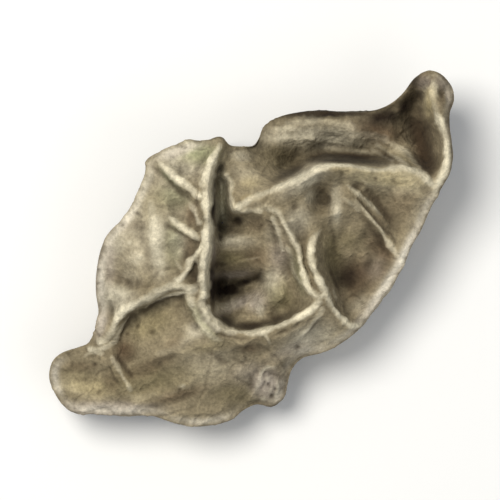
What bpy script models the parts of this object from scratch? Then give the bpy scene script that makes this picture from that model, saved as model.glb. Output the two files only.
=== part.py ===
"""A dried wood ear mushroom, lying with its felted outer face up.

The fruit body is one thin sheet. Its outer face is described by the heights of
its ridges, hollows and folds, all in millimetres. Past the outline the margin
rolls down and under, and touches the ground at a few lobes.
"""
import bpy
import numpy as np

MM = 0.001

# Driving dimensions, in millimetres.
SHEET = 0.80            # thickness of the dried flesh
RIM_SHEET = 0.55        # thickness at the margin
CREST_ROUNDING = 0.55   # radius of the crests and of the creases
SAMPLE_STEP = 0.60      # spacing of the height samples along a line
CLOSEST_SAMPLES = 0.30  # samples nearer than this to another are left out
LATTICE_STEP = 0.15     # spacing of the height lattice

# The sheet's cells. The grid is finer than the final facets, which are thinned out.
CELLS_X = 88            # cells from left to right
CELLS_Y = 96            # cells from front to back
MARGIN_ROWS = 10        # rows of cells in the turned margin
EVENING_STEPS = 400     # steps that spread the cells evenly over the folds
STEEPEST = 5.0          # the most that a steep wall draws cells to itself
SLOPE_BLUR = 14         # times that the steepness is averaged
OUTWARD_BLUR = 10       # times that the outline's directions are averaged
FACET_SHARE = 0.19      # share of the facets that is kept

SHEET_BLUR = 10         # times that the sheet is averaged, so that cords are solid inside
GROOVE_LIFT = 0.30      # the most that averaging lifts the sheet, over a groove
DEPTH_BLUR = 2          # times that the step from face to face is evened out
THICKNESS_BLUR = 5      # times that the thickness is evened out

# The felted outer face.
FELT_COLOUR = (0.30, 0.25, 0.18)
FELT_ROUGHNESS = 0.9

# The margin runs down an oval from the shoulder to its free edge.
MARGIN_START = 48.0     # angle on the oval at the shoulder, degrees
MARGIN_ANGLE = 165.0    # angle that a fully rolled margin runs through, degrees
LEAST_TURN = 0.4        # least turn of the margin anywhere
TUCK = 2.8              # how far the lowest point of the rolled margin lies inside the outline
TUCK_SHARE = 0.40       # the most that the margin tucks in, as a share of the room
FLUTES = 19             # number of flutes round the margin
FLUTE_DEPTH = 0.45      # how far the flutes swing the margin in and out at its free edge
NEIGHBOURHOOD = 0.4     # places of the sheet nearer than this don't count as another wall
WALL_SHARE = 0.80       # the most of the room between two walls that one of them takes

# The outline seen from above, clockwise from the front left corner. Each point is
# x, y, height of the shoulder, height of the lowest point of the margin under it,
# and turn: 1 where the margin rolls right under, less where it only bends down.
LEFT_SIDE = [
    (-17.6, -12.7, 5.6, 0.0, 1.0), (-17.9, -11.5, 5.8, 0.0, 1.0), (-17.6, -10.2, 6.0, 0.6, 1.0),
    (-16.7, -9.4, 6.2, 1.6, 0.9), (-15.3, -8.9, 6.4, 2.2, 0.8), (-14.2, -8.4, 6.6, 2.2, 0.8),
    (-13.6, -7.2, 7.0, 1.6, 0.9), (-13.3, -5.6, 7.4, 0.8, 1.0), (-13.5, -4.0, 7.7, 0.0, 1.0),
    (-13.5, -2.3, 8.0, 0.0, 1.0), (-13.2, -0.4, 8.3, 0.6, 1.0), (-12.5, 1.3, 8.6, 1.8, 1.0),
    (-11.3, 2.6, 8.9, 2.8, 0.9), (-10.3, 4.0, 9.1, 3.2, 0.8), (-9.5, 5.5, 9.3, 3.4, 0.7),
    (-8.9, 7.0, 9.4, 3.8, 0.6),
]
FAR_SIDE = [
    (-8.8, 8.2, 9.3, 4.2, 0.5), (-7.7, 8.9, 9.2, 4.2, 0.5), (-6.3, 9.5, 9.1, 3.4, 0.6),
    (-4.9, 10.0, 9.1, 2.6, 0.7), (-3.4, 10.0, 9.4, 2.4, 0.7), (-2.0, 10.3, 9.8, 3.0, 0.5),
    (-1.2, 9.6, 8.8, 3.4, 0.5), (0.0, 9.5, 8.0, 3.6, 0.5), (0.9, 9.6, 7.2, 3.8, 0.5),
    (1.4, 10.3, 6.5, 3.4, 0.5), (1.8, 11.2, 6.0, 2.4, 0.6), (2.8, 12.1, 5.3, 1.2, 0.8),
    (4.6, 12.7, 5.1, 0.4, 1.0), (7.0, 13.0, 5.1, 0.0, 1.0), (9.2, 12.9, 5.2, 0.4, 1.0),
    (11.2, 12.9, 5.5, 1.2, 0.8), (13.1, 13.3, 6.9, 2.9, 0.6), (14.6, 14.4, 8.2, 4.0, 0.5),
    (15.6, 15.7, 9.2, 5.0, 0.5),
]
RIGHT_SIDE = [
    (16.8, 16.3, 9.9, 5.6, 0.5), (18.0, 15.9, 10.0, 5.6, 0.5), (18.9, 14.8, 9.8, 5.2, 0.5),
    (19.1, 13.6, 9.6, 4.8, 0.5), (18.7, 12.4, 9.8, 4.2, 0.5), (18.7, 11.0, 10.2, 3.4, 0.5),
    (18.9, 9.6, 10.3, 2.8, 0.5), (19.0, 8.2, 10.1, 2.2, 0.5), (18.6, 6.7, 9.7, 1.6, 0.6),
    (17.8, 5.2, 9.2, 1.0, 0.7), (17.0, 3.6, 8.8, 0.3, 1.0), (16.3, 1.9, 8.5, 0.0, 1.0),
    (15.3, 0.1, 8.2, 0.6, 0.9), (14.6, -1.6, 7.9, 1.6, 0.7), (13.6, -3.3, 7.6, 2.2, 0.6),
    (12.3, -5.2, 7.2, 1.8, 0.7), (10.9, -7.0, 6.9, 0.8, 0.9), (9.2, -8.4, 6.7, 0.0, 1.0),
    (7.2, -9.4, 6.6, 0.2, 1.0), (5.4, -9.9, 6.4, 1.0, 0.8), (4.5, -10.9, 5.8, 1.6, 0.6),
    (4.1, -12.2, 5.0, 1.6, 0.5),
]
FRONT_SIDE = [
    (3.8, -13.5, 4.4, 1.4, 0.4), (2.7, -14.4, 4.2, 1.2, 0.4), (1.2, -14.2, 4.6, 1.4, 0.5),
    (0.0, -14.7, 5.0, 1.2, 0.7), (-1.1, -15.6, 5.2, 0.6, 0.9), (-2.9, -16.1, 5.4, 0.0, 1.0),
    (-4.9, -16.2, 5.6, 0.0, 1.0), (-6.6, -15.8, 5.8, 0.8, 0.9), (-8.0, -15.3, 5.8, 1.8, 0.7),
    (-9.4, -15.2, 5.8, 2.2, 0.6), (-11.3, -15.2, 5.8, 1.8, 0.8), (-13.3, -15.1, 5.7, 0.8, 1.0),
    (-15.2, -15.0, 5.6, 0.0, 1.0), (-16.6, -14.3, 5.5, 0.0, 1.0),
]

# Crests of the folds and veins: x, y, height.
CRESTS = {
    "left_lobe_wall": [
        (-1.9, 9.8, 10.2), (-2.7, 8.3, 11.0), (-3.2, 6.4, 11.8), (-3.2, 4.2, 12.2), (-3.1, 2.0, 12.4),
        (-3.3, 0.3, 12.2), (-3.5, -1.4, 11.8), (-3.5, -3.1, 11.0), (-3.5, -4.5, 10.2)],
    "left_lobe_brow": [
        (-3.2, 8.5, 10.6), (-3.8, 6.6, 11.3), (-3.9, 4.2, 11.7), (-3.8, 2.4, 11.9), (-4.0, 1.0, 11.8)],
    "left_lobe_branch": [
        (-3.3, 0.6, 12.2), (-4.6, -0.8, 11.6), (-5.2, -1.9, 11.2), (-6.1, -3.0, 11.0)],
    "left_lobe_hem": [
        (-3.9, -3.5, 10.6), (-5.0, -3.3, 10.9), (-6.2, -3.1, 11.0), (-7.8, -3.9, 10.6), (-9.6, -4.8, 9.9),
        (-10.9, -5.5, 9.3), (-11.7, -6.5, 8.7), (-12.3, -7.8, 8.0), (-13.3, -8.7, 7.4)],
    "upper_vein": [
        (-7.9, 8.3, 9.8), (-6.6, 7.0, 10.8), (-5.4, 6.0, 11.3), (-4.3, 5.1, 11.7), (-3.4, 4.6, 12.0)],
    "middle_vein": [
        (-7.0, 3.3, 11.0), (-5.9, 2.5, 11.3), (-4.8, 1.7, 11.7), (-3.7, 1.0, 12.1)],
    "pit_front": [
        (-3.4, -4.8, 10.1), (-2.7, -6.1, 9.8), (-1.6, -7.1, 9.6), (0.0, -7.5, 9.5), (1.5, -7.4, 9.6),
        (3.4, -6.8, 9.9), (5.0, -6.0, 10.2), (6.2, -5.2, 10.4), (6.9, -4.4, 10.4)],
    "pit_right": [
        (1.9, 3.7, 10.8), (2.9, 3.5, 11.2), (3.6, 2.6, 11.0), (4.3, 1.4, 10.8), (4.9, 0.1, 10.6),
        (5.2, -1.2, 10.5), (5.5, -2.4, 10.4), (6.1, -3.6, 10.4), (6.9, -4.4, 10.4)],
    "hollow_left": [
        (7.2, 2.2, 10.0), (6.3, 1.1, 10.6), (6.0, -0.3, 10.9), (6.3, -1.5, 10.9), (6.8, -2.7, 10.7),
        (7.3, -3.6, 10.5), (7.9, -4.8, 10.0), (8.5, -5.9, 9.3), (9.5, -6.6, 8.5)],
    "straight_vein": [
        (8.8, 6.2, 11.2), (10.0, 5.0, 10.6), (11.2, 3.8, 10.2), (12.3, 2.5, 9.8), (13.2, 1.2, 9.4),
        (14.1, -0.3, 8.8)],
    "far_ridge": [
        (-0.8, 3.7, 9.8), (0.4, 4.5, 10.4), (1.5, 4.9, 10.9), (2.8, 5.4, 11.4), (4.3, 6.1, 11.9),
        (5.5, 6.7, 12.3), (6.5, 7.3, 12.6), (7.7, 7.6, 12.7), (9.3, 7.6, 12.6), (11.0, 7.4, 12.2),
        (12.6, 7.2, 11.6), (14.4, 7.5, 11.0), (15.8, 7.0, 10.5), (16.8, 6.3, 10.2), (17.6, 5.7, 9.7)],
    "slot_lip": [
        (-1.9, 6.9, 9.0), (-1.2, 6.2, 9.2), (-1.1, 4.9, 9.4), (-0.8, 3.8, 9.8), (0.6, 3.6, 10.1),
        (1.9, 3.6, 10.7)],
    "curl_rim": [
        (17.2, 15.5, 10.4), (17.1, 14.0, 10.6), (17.4, 12.6, 10.7), (18.0, 11.3, 10.8), (18.3, 10.0, 10.9),
        (18.4, 8.6, 10.8), (18.1, 7.2, 10.4), (17.5, 5.8, 9.9), (16.9, 4.5, 9.4)],
    "left_lobe_ridge": [
        (-8.3, 4.2, 10.4), (-8.1, 2.4, 10.8), (-7.9, 0.6, 11.0), (-7.6, -1.4, 10.8)],
    "pit_shelf_top": [
        (-2.2, 1.2, 7.3), (-1.0, 1.3, 7.7), (0.4, 1.3, 8.1), (1.6, 0.9, 8.5)],
    "pit_shelf_edge": [
        (-2.3, -1.3, 6.6), (-1.0, -1.5, 6.8), (0.4, -1.6, 7.1), (1.7, -1.7, 7.7)],
    "flap_crest": [
        (3.0, 11.2, 5.9), (4.8, 11.6, 6.3), (7.0, 11.8, 6.5), (9.4, 11.6, 6.5), (11.6, 11.2, 6.3),
        (13.4, 10.8, 6.2)],
    "lower_lobe_vein": [
        (-12.1, -9.5, 7.9), (-11.8, -10.3, 7.8), (-11.1, -11.3, 7.6), (-10.4, -12.3, 7.3)],
    "lower_lobe_fold": [
        (-9.0, -9.8, 8.2), (-7.0, -9.2, 8.9), (-5.4, -8.2, 9.4), (-4.3, -7.2, 9.6), (-4.6, -5.8, 9.8),
        (-5.1, -4.6, 10.2)],
}

# Creases and floors of the hollows: x, y, height.
CREASES = {
    "slot_floor": [
        (-2.1, 7.8, 8.9), (-2.1, 6.3, 7.2), (-2.0, 4.6, 6.3), (-2.1, 3.2, 6.0), (-2.2, 2.3, 6.1)],
    "pit_floor": [
        (-2.4, -3.0, 3.6), (-2.2, -4.0, 3.2), (-1.2, -3.8, 3.2), (0.2, -3.2, 3.8), (1.4, -2.6, 5.0)],
    "pit_front_crease": [
        (-2.0, -5.4, 5.4), (-1.0, -6.4, 6.4), (0.6, -6.7, 7.0), (2.4, -6.3, 7.6), (4.2, -5.5, 8.2)],
    "pit_right_crease": [
        (4.7, -4.6, 8.4), (4.6, -3.0, 8.3), (4.3, -1.6, 8.4)],
    "ridge_groove": [
        (5.4, 1.4, 10.0), (5.5, 0.0, 10.1), (5.8, -1.6, 10.1), (6.4, -3.0, 10.0)],
    "hollow_left_crease": [
        (7.6, -0.3, 8.4), (8.1, -1.8, 7.5), (8.7, -3.2, 7.1), (9.2, -4.6, 7.2), (9.7, -5.6, 7.4)],
    "vein_crease": [
        (10.2, 5.8, 10.0), (11.7, 4.4, 9.3), (12.8, 3.0, 8.9), (13.8, 1.4, 8.6)],
    "far_ridge_foot": [
        (2.4, 7.9, 6.4), (3.4, 7.3, 6.0), (4.8, 7.4, 5.7), (6.0, 8.3, 5.3), (7.6, 8.7, 5.1),
        (9.4, 8.7, 5.2), (11.2, 8.4, 5.5), (12.8, 8.5, 6.2), (14.6, 8.9, 6.8)],
    "curl_inside": [
        (16.8, 8.2, 6.6), (16.9, 9.6, 5.6), (16.7, 11.0, 5.3), (16.2, 12.4, 5.6), (16.1, 14.0, 6.6)],
    "lobe_hem_crease": [
        (-5.6, -4.4, 9.1), (-7.9, -4.9, 8.6), (-9.6, -5.8, 8.0), (-10.8, -6.9, 7.4), (-11.4, -8.2, 7.0)],
    "branch_crease": [
        (-4.3, -1.3, 11.1), (-4.5, -2.5, 10.6)],
    "margin_fold": [
        (-6.0, -13.8, 6.9), (-7.2, -14.1, 6.6), (-8.4, -14.5, 6.1)],
}

# Single heights on the broad faces between them.
BROAD = [
    (-4.7, 8.4, 9.7), (-5.6, 7.6, 9.9), (-7.6, 5.4, 10.0), (-5.8, 4.3, 10.4), (-9.6, 2.6, 9.8),
    (-6.2, 0.4, 10.6), (-9.8, -0.6, 10.1), (-10.8, 1.0, 9.6), (-12.2, -0.8, 9.0),
    (-10.6, -2.7, 8.8), (-12.2, -3.6, 8.6), (-11.9, -5.4, 8.2),
    (-9.3, -7.6, 7.8), (-7.2, -6.4, 8.6), (-10.5, -9.0, 6.9), (-14.4, -10.6, 6.7), (-16.0, -12.2, 6.4),
    (-13.4, -12.6, 6.8), (-9.5, -11.6, 7.4), (-6.6, -11.6, 7.9), (-3.6, -9.6, 8.8), (-3.4, -12.4, 7.5),
    (-1.0, -9.4, 8.8), (-0.6, -11.8, 7.4), (1.6, -9.2, 8.5), (-3.4, -14.4, 6.5), (-10.6, -13.8, 6.7),
    (1.4, -11.4, 6.8), (2.6, -12.8, 5.6), (3.8, -9.0, 8.2), (6.0, -7.6, 8.6), (7.9, -7.6, 8.0),
    (-0.6, 2.6, 6.6), (0.9, 2.4, 8.8), (2.6, 1.4, 9.2), (0.2, -0.2, 7.6), (1.8, -0.4, 8.2),
    (3.4, -0.4, 8.9), (2.7, -2.8, 8.4), (3.4, -4.0, 8.8), (1.7, -4.8, 7.6), (-0.2, -5.0, 5.9),
    (0.4, 7.8, 8.5), (1.4, 6.7, 9.0), (-0.3, 6.0, 9.4), (-0.4, 8.7, 8.4),
    (4.6, 4.4, 11.0), (5.0, 2.6, 10.4), (8.3, 4.4, 10.9), (7.2, 3.2, 10.6), (6.8, 6.5, 11.8),
    (9.8, 2.6, 9.4), (9.4, 0.4, 7.8), (10.4, -1.6, 6.9), (9.4, -2.6, 6.6), (10.6, -4.0, 7.0),
    (12.2, -2.4, 7.9), (12.0, 0.2, 8.0), (11.2, -5.6, 7.4),
    (14.0, 4.6, 9.4), (13.6, 6.2, 10.6), (15.6, 3.4, 9.0), (15.0, 1.4, 8.6), (11.4, 6.2, 11.2),
    (3.4, 9.4, 5.9), (6.4, 10.0, 5.6), (10.0, 10.0, 5.5), (13.4, 9.6, 6.0), (14.2, 12.6, 6.2),
    (17.9, 14.2, 9.2),
]

# The round dimple on the far right shoulder.
DIMPLE = {"x": 7.1, "y": 4.7, "radius": 1.10, "floor": 9.2, "brow": 11.2}


def smooth_line(points, count, before=None, after=None):
    """Evenly spaced points on a smooth curve through the given ones."""
    points = np.array(points, dtype=float)
    before = 2.0 * points[0] - points[1] if before is None else np.array(before)
    after = 2.0 * points[-1] - points[-2] if after is None else np.array(after)
    guide = np.vstack([before, points, after])
    pieces = []
    share = np.linspace(0.0, 1.0, 16, endpoint=False)[:, None]
    for a, b, c, d in zip(guide, guide[1:], guide[2:], guide[3:]):
        pieces.append(b + 0.5 * share * (c - a) + share ** 2 * (a - 2.5 * b + 2.0 * c - 0.5 * d)
                      + share ** 3 * (1.5 * b - 0.5 * a - 1.5 * c + 0.5 * d))
    curve = np.vstack(pieces + [points[-1:]])
    along = np.concatenate([[0.0], np.cumsum(plan_steps(curve))])
    wanted = np.linspace(0.0, along[-1], count + 1)
    return np.stack([np.interp(wanted, along, column) for column in curve.T], axis=1)


def plan_steps(line):
    """Length of each step of a line on the plan."""
    return np.linalg.norm(np.diff(np.array(line)[:, :2], axis=0), axis=1)


def height_samples():
    """Every place whose height is given, as rows of x, y, height."""
    rows = []
    for line in list(CRESTS.values()) + list(CREASES.values()):
        count = max(2, round(plan_steps(line).sum() / SAMPLE_STEP))
        rows.append(smooth_line(line, count))
    rows.append(np.array(BROAD))
    turn = np.linspace(0.0, 2.0 * np.pi, 9)[:-1]
    around = np.stack([np.cos(turn), np.sin(turn)], axis=1)
    centre = np.array([DIMPLE["x"], DIMPLE["y"]])
    for radius, level in ((DIMPLE["radius"] * 0.5, DIMPLE["floor"]), (DIMPLE["radius"] * 1.35, DIMPLE["brow"])):
        rows.append(np.column_stack([centre + radius * around, np.full(len(around), level)]))
    rows.append(np.array(LEFT_SIDE + FAR_SIDE + RIGHT_SIDE + FRONT_SIDE)[:, :3])
    kept = []
    for row in np.vstack(rows):
        if all(np.hypot(*(row[:2] - other[:2])) > CLOSEST_SAMPLES for other in kept):
            kept.append(row)
    return np.array(kept)


def height_lattice(low, high):
    """Heights on a square lattice, as a tight skin over all the samples."""
    samples = height_samples()

    def reach(places):
        gap = places[:, None, :] - samples[None, :, :2]
        return np.sqrt((gap ** 2).sum(axis=2) + CREST_ROUNDING ** 2)

    weights = np.linalg.solve(reach(samples[:, :2]), samples[:, 2])
    xs = np.arange(low[0], high[0] + LATTICE_STEP, LATTICE_STEP)
    ys = np.arange(low[1], high[1] + LATTICE_STEP, LATTICE_STEP)
    rows = [reach(np.column_stack([xs, np.full(len(xs), y)])) @ weights for y in ys]
    return np.array(rows)


def height_at(lattice, low, places):
    """Height of the outer face at any place, read between the lattice's points."""
    column = np.clip((places[..., 0] - low[0]) / LATTICE_STEP, 0, lattice.shape[1] - 1.001)
    row = np.clip((places[..., 1] - low[1]) / LATTICE_STEP, 0, lattice.shape[0] - 1.001)
    c = column.astype(int)
    r = row.astype(int)
    u = column - c
    v = row - r
    near = lattice[r, c] * (1 - u) + lattice[r, c + 1] * u
    far = lattice[r + 1, c] * (1 - u) + lattice[r + 1, c + 1] * u
    return near * (1 - v) + far * v


def outline_ring():
    """The whole outline as an even ring, clockwise from the front left corner."""
    sides = (LEFT_SIDE, FAR_SIDE, RIGHT_SIDE, FRONT_SIDE)
    counts = (CELLS_Y, CELLS_X, CELLS_Y, CELLS_X)
    parts = []
    for i, side in enumerate(sides):
        following = sides[(i + 1) % 4]
        line = smooth_line(side + following[:1], counts[i], sides[i - 1][-1], following[1])
        parts.append(line[:-1])
    ring = np.vstack(parts)
    ring[:, 3] = np.maximum(ring[:, 3], 0.0)
    ring[:, 4] = np.clip(ring[:, 4], LEAST_TURN, 1.0)
    return ring


def ring_blur(values, times):
    """Averages a closed row of values with their neighbours."""
    for _ in range(times):
        values = (np.roll(values, 1, axis=0) + 2.0 * values + np.roll(values, -1, axis=0)) / 4.0
    return values


def outward(ring):
    """Unit directions out of a clockwise ring, on the plan."""
    ahead = np.roll(ring, -1, axis=0) - np.roll(ring, 1, axis=0)
    side = ring_blur(np.stack([-ahead[:, 1], ahead[:, 0]], axis=1), OUTWARD_BLUR)
    return side / np.linalg.norm(side, axis=1, keepdims=True)


def margin_tuck(ring, out, turn):
    """How far the margin tucks in at each ring point, less where the piece is narrow."""
    gap = ring[None] - ring[:, None]
    depth = -(gap * out[:, None]).sum(axis=2)
    square = (gap ** 2).sum(axis=2)
    room = np.where(depth > 1e-6, square / np.maximum(2.0 * depth, 1e-6), TUCK / TUCK_SHARE).min(axis=1)
    room = np.min([np.roll(room, k) for k in range(-OUTWARD_BLUR, OUTWARD_BLUR + 1)], axis=0)
    tuck = np.minimum(TUCK_SHARE * room, TUCK * (0.4 + 0.6 * turn))
    return ring_blur(tuck, 2 * OUTWARD_BLUR)


def spread_sheet(shoulder, lattice, low):
    """A grid of places inside the shoulder ring, spaced evenly over the folds."""
    a, b, c = CELLS_Y, CELLS_Y + CELLS_X, 2 * CELLS_Y + CELLS_X
    left = shoulder[:a + 1]
    far = shoulder[a:b + 1]
    right = shoulder[b:c + 1][::-1]
    front = np.vstack([shoulder[c:], shoulder[:1]])[::-1]
    s = np.linspace(0.0, 1.0, CELLS_X + 1)[None, :, None]
    t = np.linspace(0.0, 1.0, CELLS_Y + 1)[:, None, None]
    grid = (1 - t) * front[None] + t * far[None] + (1 - s) * left[:, None] + s * right[:, None]
    grid = grid - (1 - s) * ((1 - t) * front[0] + t * far[0]) - s * ((1 - t) * front[-1] + t * far[-1])
    crowding = slope_lattice(lattice)
    for _ in range(EVENING_STEPS):
        pull = height_at(crowding, low, grid)
        pull_x = (pull[1:-1, 1:] + pull[1:-1, :-1])[..., None] / 2.0
        pull_y = (pull[1:, 1:-1] + pull[:-1, 1:-1])[..., None] / 2.0
        step_x = (grid[1:-1, 2:] - grid[1:-1, :-2]) / 2.0
        step_y = (grid[2:, 1:-1] - grid[:-2, 1:-1]) / 2.0
        twist = (grid[2:, 2:] - grid[2:, :-2] - grid[:-2, 2:] + grid[:-2, :-2]) / 4.0
        skew = (step_x * step_y).sum(axis=2, keepdims=True) * pull[1:-1, 1:-1, None]
        across = (step_y ** 2).sum(axis=2, keepdims=True)
        along = (step_x ** 2).sum(axis=2, keepdims=True)
        pulled = across * (pull_x[:, 1:] * grid[1:-1, 2:] + pull_x[:, :-1] * grid[1:-1, :-2])
        pulled = pulled + along * (pull_y[1:] * grid[2:, 1:-1] + pull_y[:-1] * grid[:-2, 1:-1])
        total = across * (pull_x[:, 1:] + pull_x[:, :-1]) + along * (pull_y[1:] + pull_y[:-1])
        grid[1:-1, 1:-1] = (pulled - 2.0 * skew * twist) / total
    return grid


def slope_lattice(lattice):
    """How strongly each place draws cells to itself: more on the steep walls."""
    along_y, along_x = np.gradient(lattice, LATTICE_STEP)
    steepness = np.minimum(np.sqrt(1.0 + along_x ** 2 + along_y ** 2), STEEPEST)
    for _ in range(SLOPE_BLUR):
        padded = np.pad(steepness, 1, mode="edge")
        across = padded[:, :-2] + 2.0 * padded[:, 1:-1] + padded[:, 2:]
        steepness = (across[:-2] + 2.0 * across[1:-1] + across[2:]) / 16.0
    return steepness


def margin_rings(outline, out, tuck, shoulder):
    """The margin past the shoulder ring: rings of places, one for each row of cells."""
    start = np.radians(MARGIN_START)
    tall = (shoulder[:, 2] - outline[:, 3]) / (1.0 + np.sin(start))
    round_share = np.linspace(0.0, 2.0 * np.pi, len(outline), endpoint=False)
    flute = FLUTE_DEPTH * tuck / TUCK * np.sin(FLUTES * round_share + 2.0 * np.sin(3.0 * round_share))
    rings = []
    for k in range(1, MARGIN_ROWS + 1):
        angle = start - np.radians(MARGIN_ANGLE) * outline[:, 4] * k / MARGIN_ROWS
        reach = tuck * (np.cos(angle) - np.cos(start)) + flute * (k / MARGIN_ROWS) ** 1.5
        rise = tall * (np.sin(angle) - np.sin(start))
        rings.append(np.column_stack([shoulder[:, :2] + out * reach[:, None], shoulder[:, 2] + rise]))
    return rings


def outer_face():
    """Places and faces of the felted outer face, and its rim."""
    outline = outline_ring()
    ring = outline[:, :2]
    out = outward(ring)
    tuck = margin_tuck(ring, out, outline[:, 4])
    inset = tuck * (1.0 - np.cos(np.radians(MARGIN_START)))
    shoulder = ring - out * inset[:, None]

    low = ring.min(axis=0) - 1.0
    high = ring.max(axis=0) + 1.0
    lattice = height_lattice(low, high)
    grid = spread_sheet(shoulder, lattice, low)
    cap = np.concatenate([grid, height_at(lattice, low, grid)[..., None]], axis=2)

    index = np.arange(cap[..., 0].size).reshape(cap.shape[:2])
    loop = np.concatenate([index[:-1, 0], index[-1, :-1], index[:0:-1, -1], index[0, :0:-1]])
    faces = [(index[r, c], index[r, c + 1], index[r + 1, c + 1], index[r + 1, c])
             for r in range(CELLS_Y) for c in range(CELLS_X)]
    places = cap.reshape(-1, 3)
    for ring in margin_rings(outline, out, tuck, places[loop]):
        fresh = np.arange(len(ring)) + len(places)
        faces += ring_faces(loop, fresh)
        places = np.vstack([places, ring])
        loop = fresh
    return places, faces, loop


def ring_faces(inner, outer):
    """Four-sided faces between two rings of the same count."""
    return list(zip(inner, np.roll(inner, -1), np.roll(outer, -1), outer))


def neighbour_mean(values, edges):
    """Mean of each place's own value and its neighbours' values."""
    total = values.copy()
    count = np.ones(len(values))
    for a, b in (edges.T, edges.T[::-1]):
        np.add.at(total, a, values[b])
        np.add.at(count, a, 1)
    return total / count[:, None]


def face_edges(faces):
    """Each pair of neighbouring places once."""
    faces = np.array(faces)
    pairs = np.vstack([faces[:, [i, (i + 1) % 4]] for i in range(4)])
    return np.unique(np.sort(pairs, axis=1), axis=0)


def ball_room(places, up):
    """Radius of the largest ball under each place that touches nothing else of the face."""
    room = np.empty(len(places))
    for i, place in enumerate(places):
        gap = places - place
        depth = -gap @ up[i]
        square = (gap ** 2).sum(axis=1)
        facing = (depth > 1e-3) & (square > NEIGHBOURHOOD ** 2)
        room[i] = np.min(square[facing] / (2.0 * depth[facing]), initial=1e3)
    return room


def inner_face(places, faces, rim):
    """The smooth inner face, one sheet's thickness under the outer one."""
    faces = np.array(faces)
    edges = face_edges(faces)
    soft = places
    for _ in range(SHEET_BLUR):
        soft = neighbour_mean(soft, edges)
    shift = soft - places
    lift = (shift * directions(places, faces)).sum(axis=1, keepdims=True)
    shift = shift * np.where(lift > GROOVE_LIFT, GROOVE_LIFT / np.maximum(lift, 1e-9), 1.0)
    shift[rim] = 0.0
    soft = places + shift
    up = directions(soft, faces)
    thickness = np.full(len(places), SHEET)
    thickness[rim] = RIM_SHEET
    thickness = np.minimum(thickness, WALL_SHARE * ball_room(soft, up))
    for _ in range(THICKNESS_BLUR):
        thickness = np.minimum(thickness, neighbour_mean(thickness[:, None], edges)[:, 0])
    depth = up * thickness[:, None]
    for _ in range(DEPTH_BLUR):
        depth = neighbour_mean(depth, edges)
    return soft - depth


def directions(places, faces):
    """Unit directions out of the face at each place."""
    corners = places[faces]
    normals = np.cross(corners[:, 2] - corners[:, 0], corners[:, 3] - corners[:, 1])
    normals /= np.linalg.norm(normals, axis=1, keepdims=True)
    up = np.zeros_like(places)
    for i in range(4):
        np.add.at(up, faces[:, i], normals)
    return up / np.linalg.norm(up, axis=1, keepdims=True)


def material(name, colour, roughness):
    """A plain surface with one colour."""
    finish = bpy.data.materials.new(name)
    finish.use_nodes = True
    shader = finish.node_tree.nodes["Principled BSDF"]
    shader.inputs["Base Color"].default_value = (*colour, 1.0)
    shader.inputs["Roughness"].default_value = roughness
    shader.inputs["Metallic"].default_value = 0.0
    return finish


def wood_ear():
    """The whole fruit body as one closed solid, its lowest point on the ground."""
    outer, faces, rim = outer_face()
    inner = inner_face(outer, faces, rim)
    count = len(outer)
    places = np.vstack([outer, inner])
    solid_faces = faces + [tuple(count + i for i in face[::-1]) for face in faces]
    solid_faces += ring_faces(rim, rim + count)
    places[:, 2] -= places[:, 2].min()
    places[:, :2] -= (places[:, :2].min(axis=0) + places[:, :2].max(axis=0)) / 2.0

    mesh = bpy.data.meshes.new("wood_ear")
    mesh.from_pydata((places * MM).tolist(), [], [tuple(int(i) for i in face) for face in solid_faces])
    mesh.shade_smooth()
    mesh.materials.append(material("felted_flesh", FELT_COLOUR, FELT_ROUGHNESS))
    piece = bpy.data.objects.new("wood_ear", mesh)
    bpy.context.scene.collection.objects.link(piece)
    thin = piece.modifiers.new("fewer facets", "DECIMATE")
    thin.ratio = FACET_SHARE
    return piece


for old in list(bpy.data.objects):
    bpy.data.objects.remove(old)
wood_ear()
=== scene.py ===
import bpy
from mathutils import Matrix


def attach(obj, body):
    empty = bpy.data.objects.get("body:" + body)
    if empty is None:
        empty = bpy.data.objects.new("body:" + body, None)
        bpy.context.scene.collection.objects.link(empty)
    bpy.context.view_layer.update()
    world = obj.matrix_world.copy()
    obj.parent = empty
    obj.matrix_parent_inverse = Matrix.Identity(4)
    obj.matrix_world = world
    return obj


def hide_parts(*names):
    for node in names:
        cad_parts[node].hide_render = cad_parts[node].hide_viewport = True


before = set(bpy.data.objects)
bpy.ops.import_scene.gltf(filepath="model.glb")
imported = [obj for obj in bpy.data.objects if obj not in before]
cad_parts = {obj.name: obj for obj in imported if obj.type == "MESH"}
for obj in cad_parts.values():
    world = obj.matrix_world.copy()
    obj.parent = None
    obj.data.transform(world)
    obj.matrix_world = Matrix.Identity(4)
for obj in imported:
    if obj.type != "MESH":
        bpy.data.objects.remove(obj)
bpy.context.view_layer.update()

import bpy
import numpy as np
from mathutils import Vector

mm = 0.001


def deselectAll():
    for item in list(bpy.context.selected_objects):
        item.select_set(False)


def linear(red, green, blue):  # a screen colour, 0 to 255, as the shader wants it
    shares = np.array([red, green, blue]) / 255.0
    return tuple(np.where(shares < 0.04045, shares / 12.92, ((shares + 0.055) / 1.055) ** 2.4)) + (1.0,)


# Camera, floor and light come first, in metres. The mushroom below is in millimetres.
studio = {
    "viewWidth": 0.0455,        # what the picture is wide at the mushroom
    "cameraHeight": 0.30,
    "sensor": 36.0,
    "nearestSeen": 0.01,
    "aimHeight": 0.008,
    "floorSize": 3.0,
    "floorColour": (232, 232, 230),
    "floorRoughness": 0.9,
    "skyColour": (0.92, 0.95, 1.0),
    "skyStrength": 0.40,
    "keyPlace": (-0.10, 0.08, 0.27),
    "keySize": 0.16,
    "keyWatts": 0.88,
    "keyColour": (1.0, 0.97, 0.92),
    "fillPlace": (0.20, -0.16, 0.22),
    "fillSize": 0.30,
    "fillWatts": 0.22,
}


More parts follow.
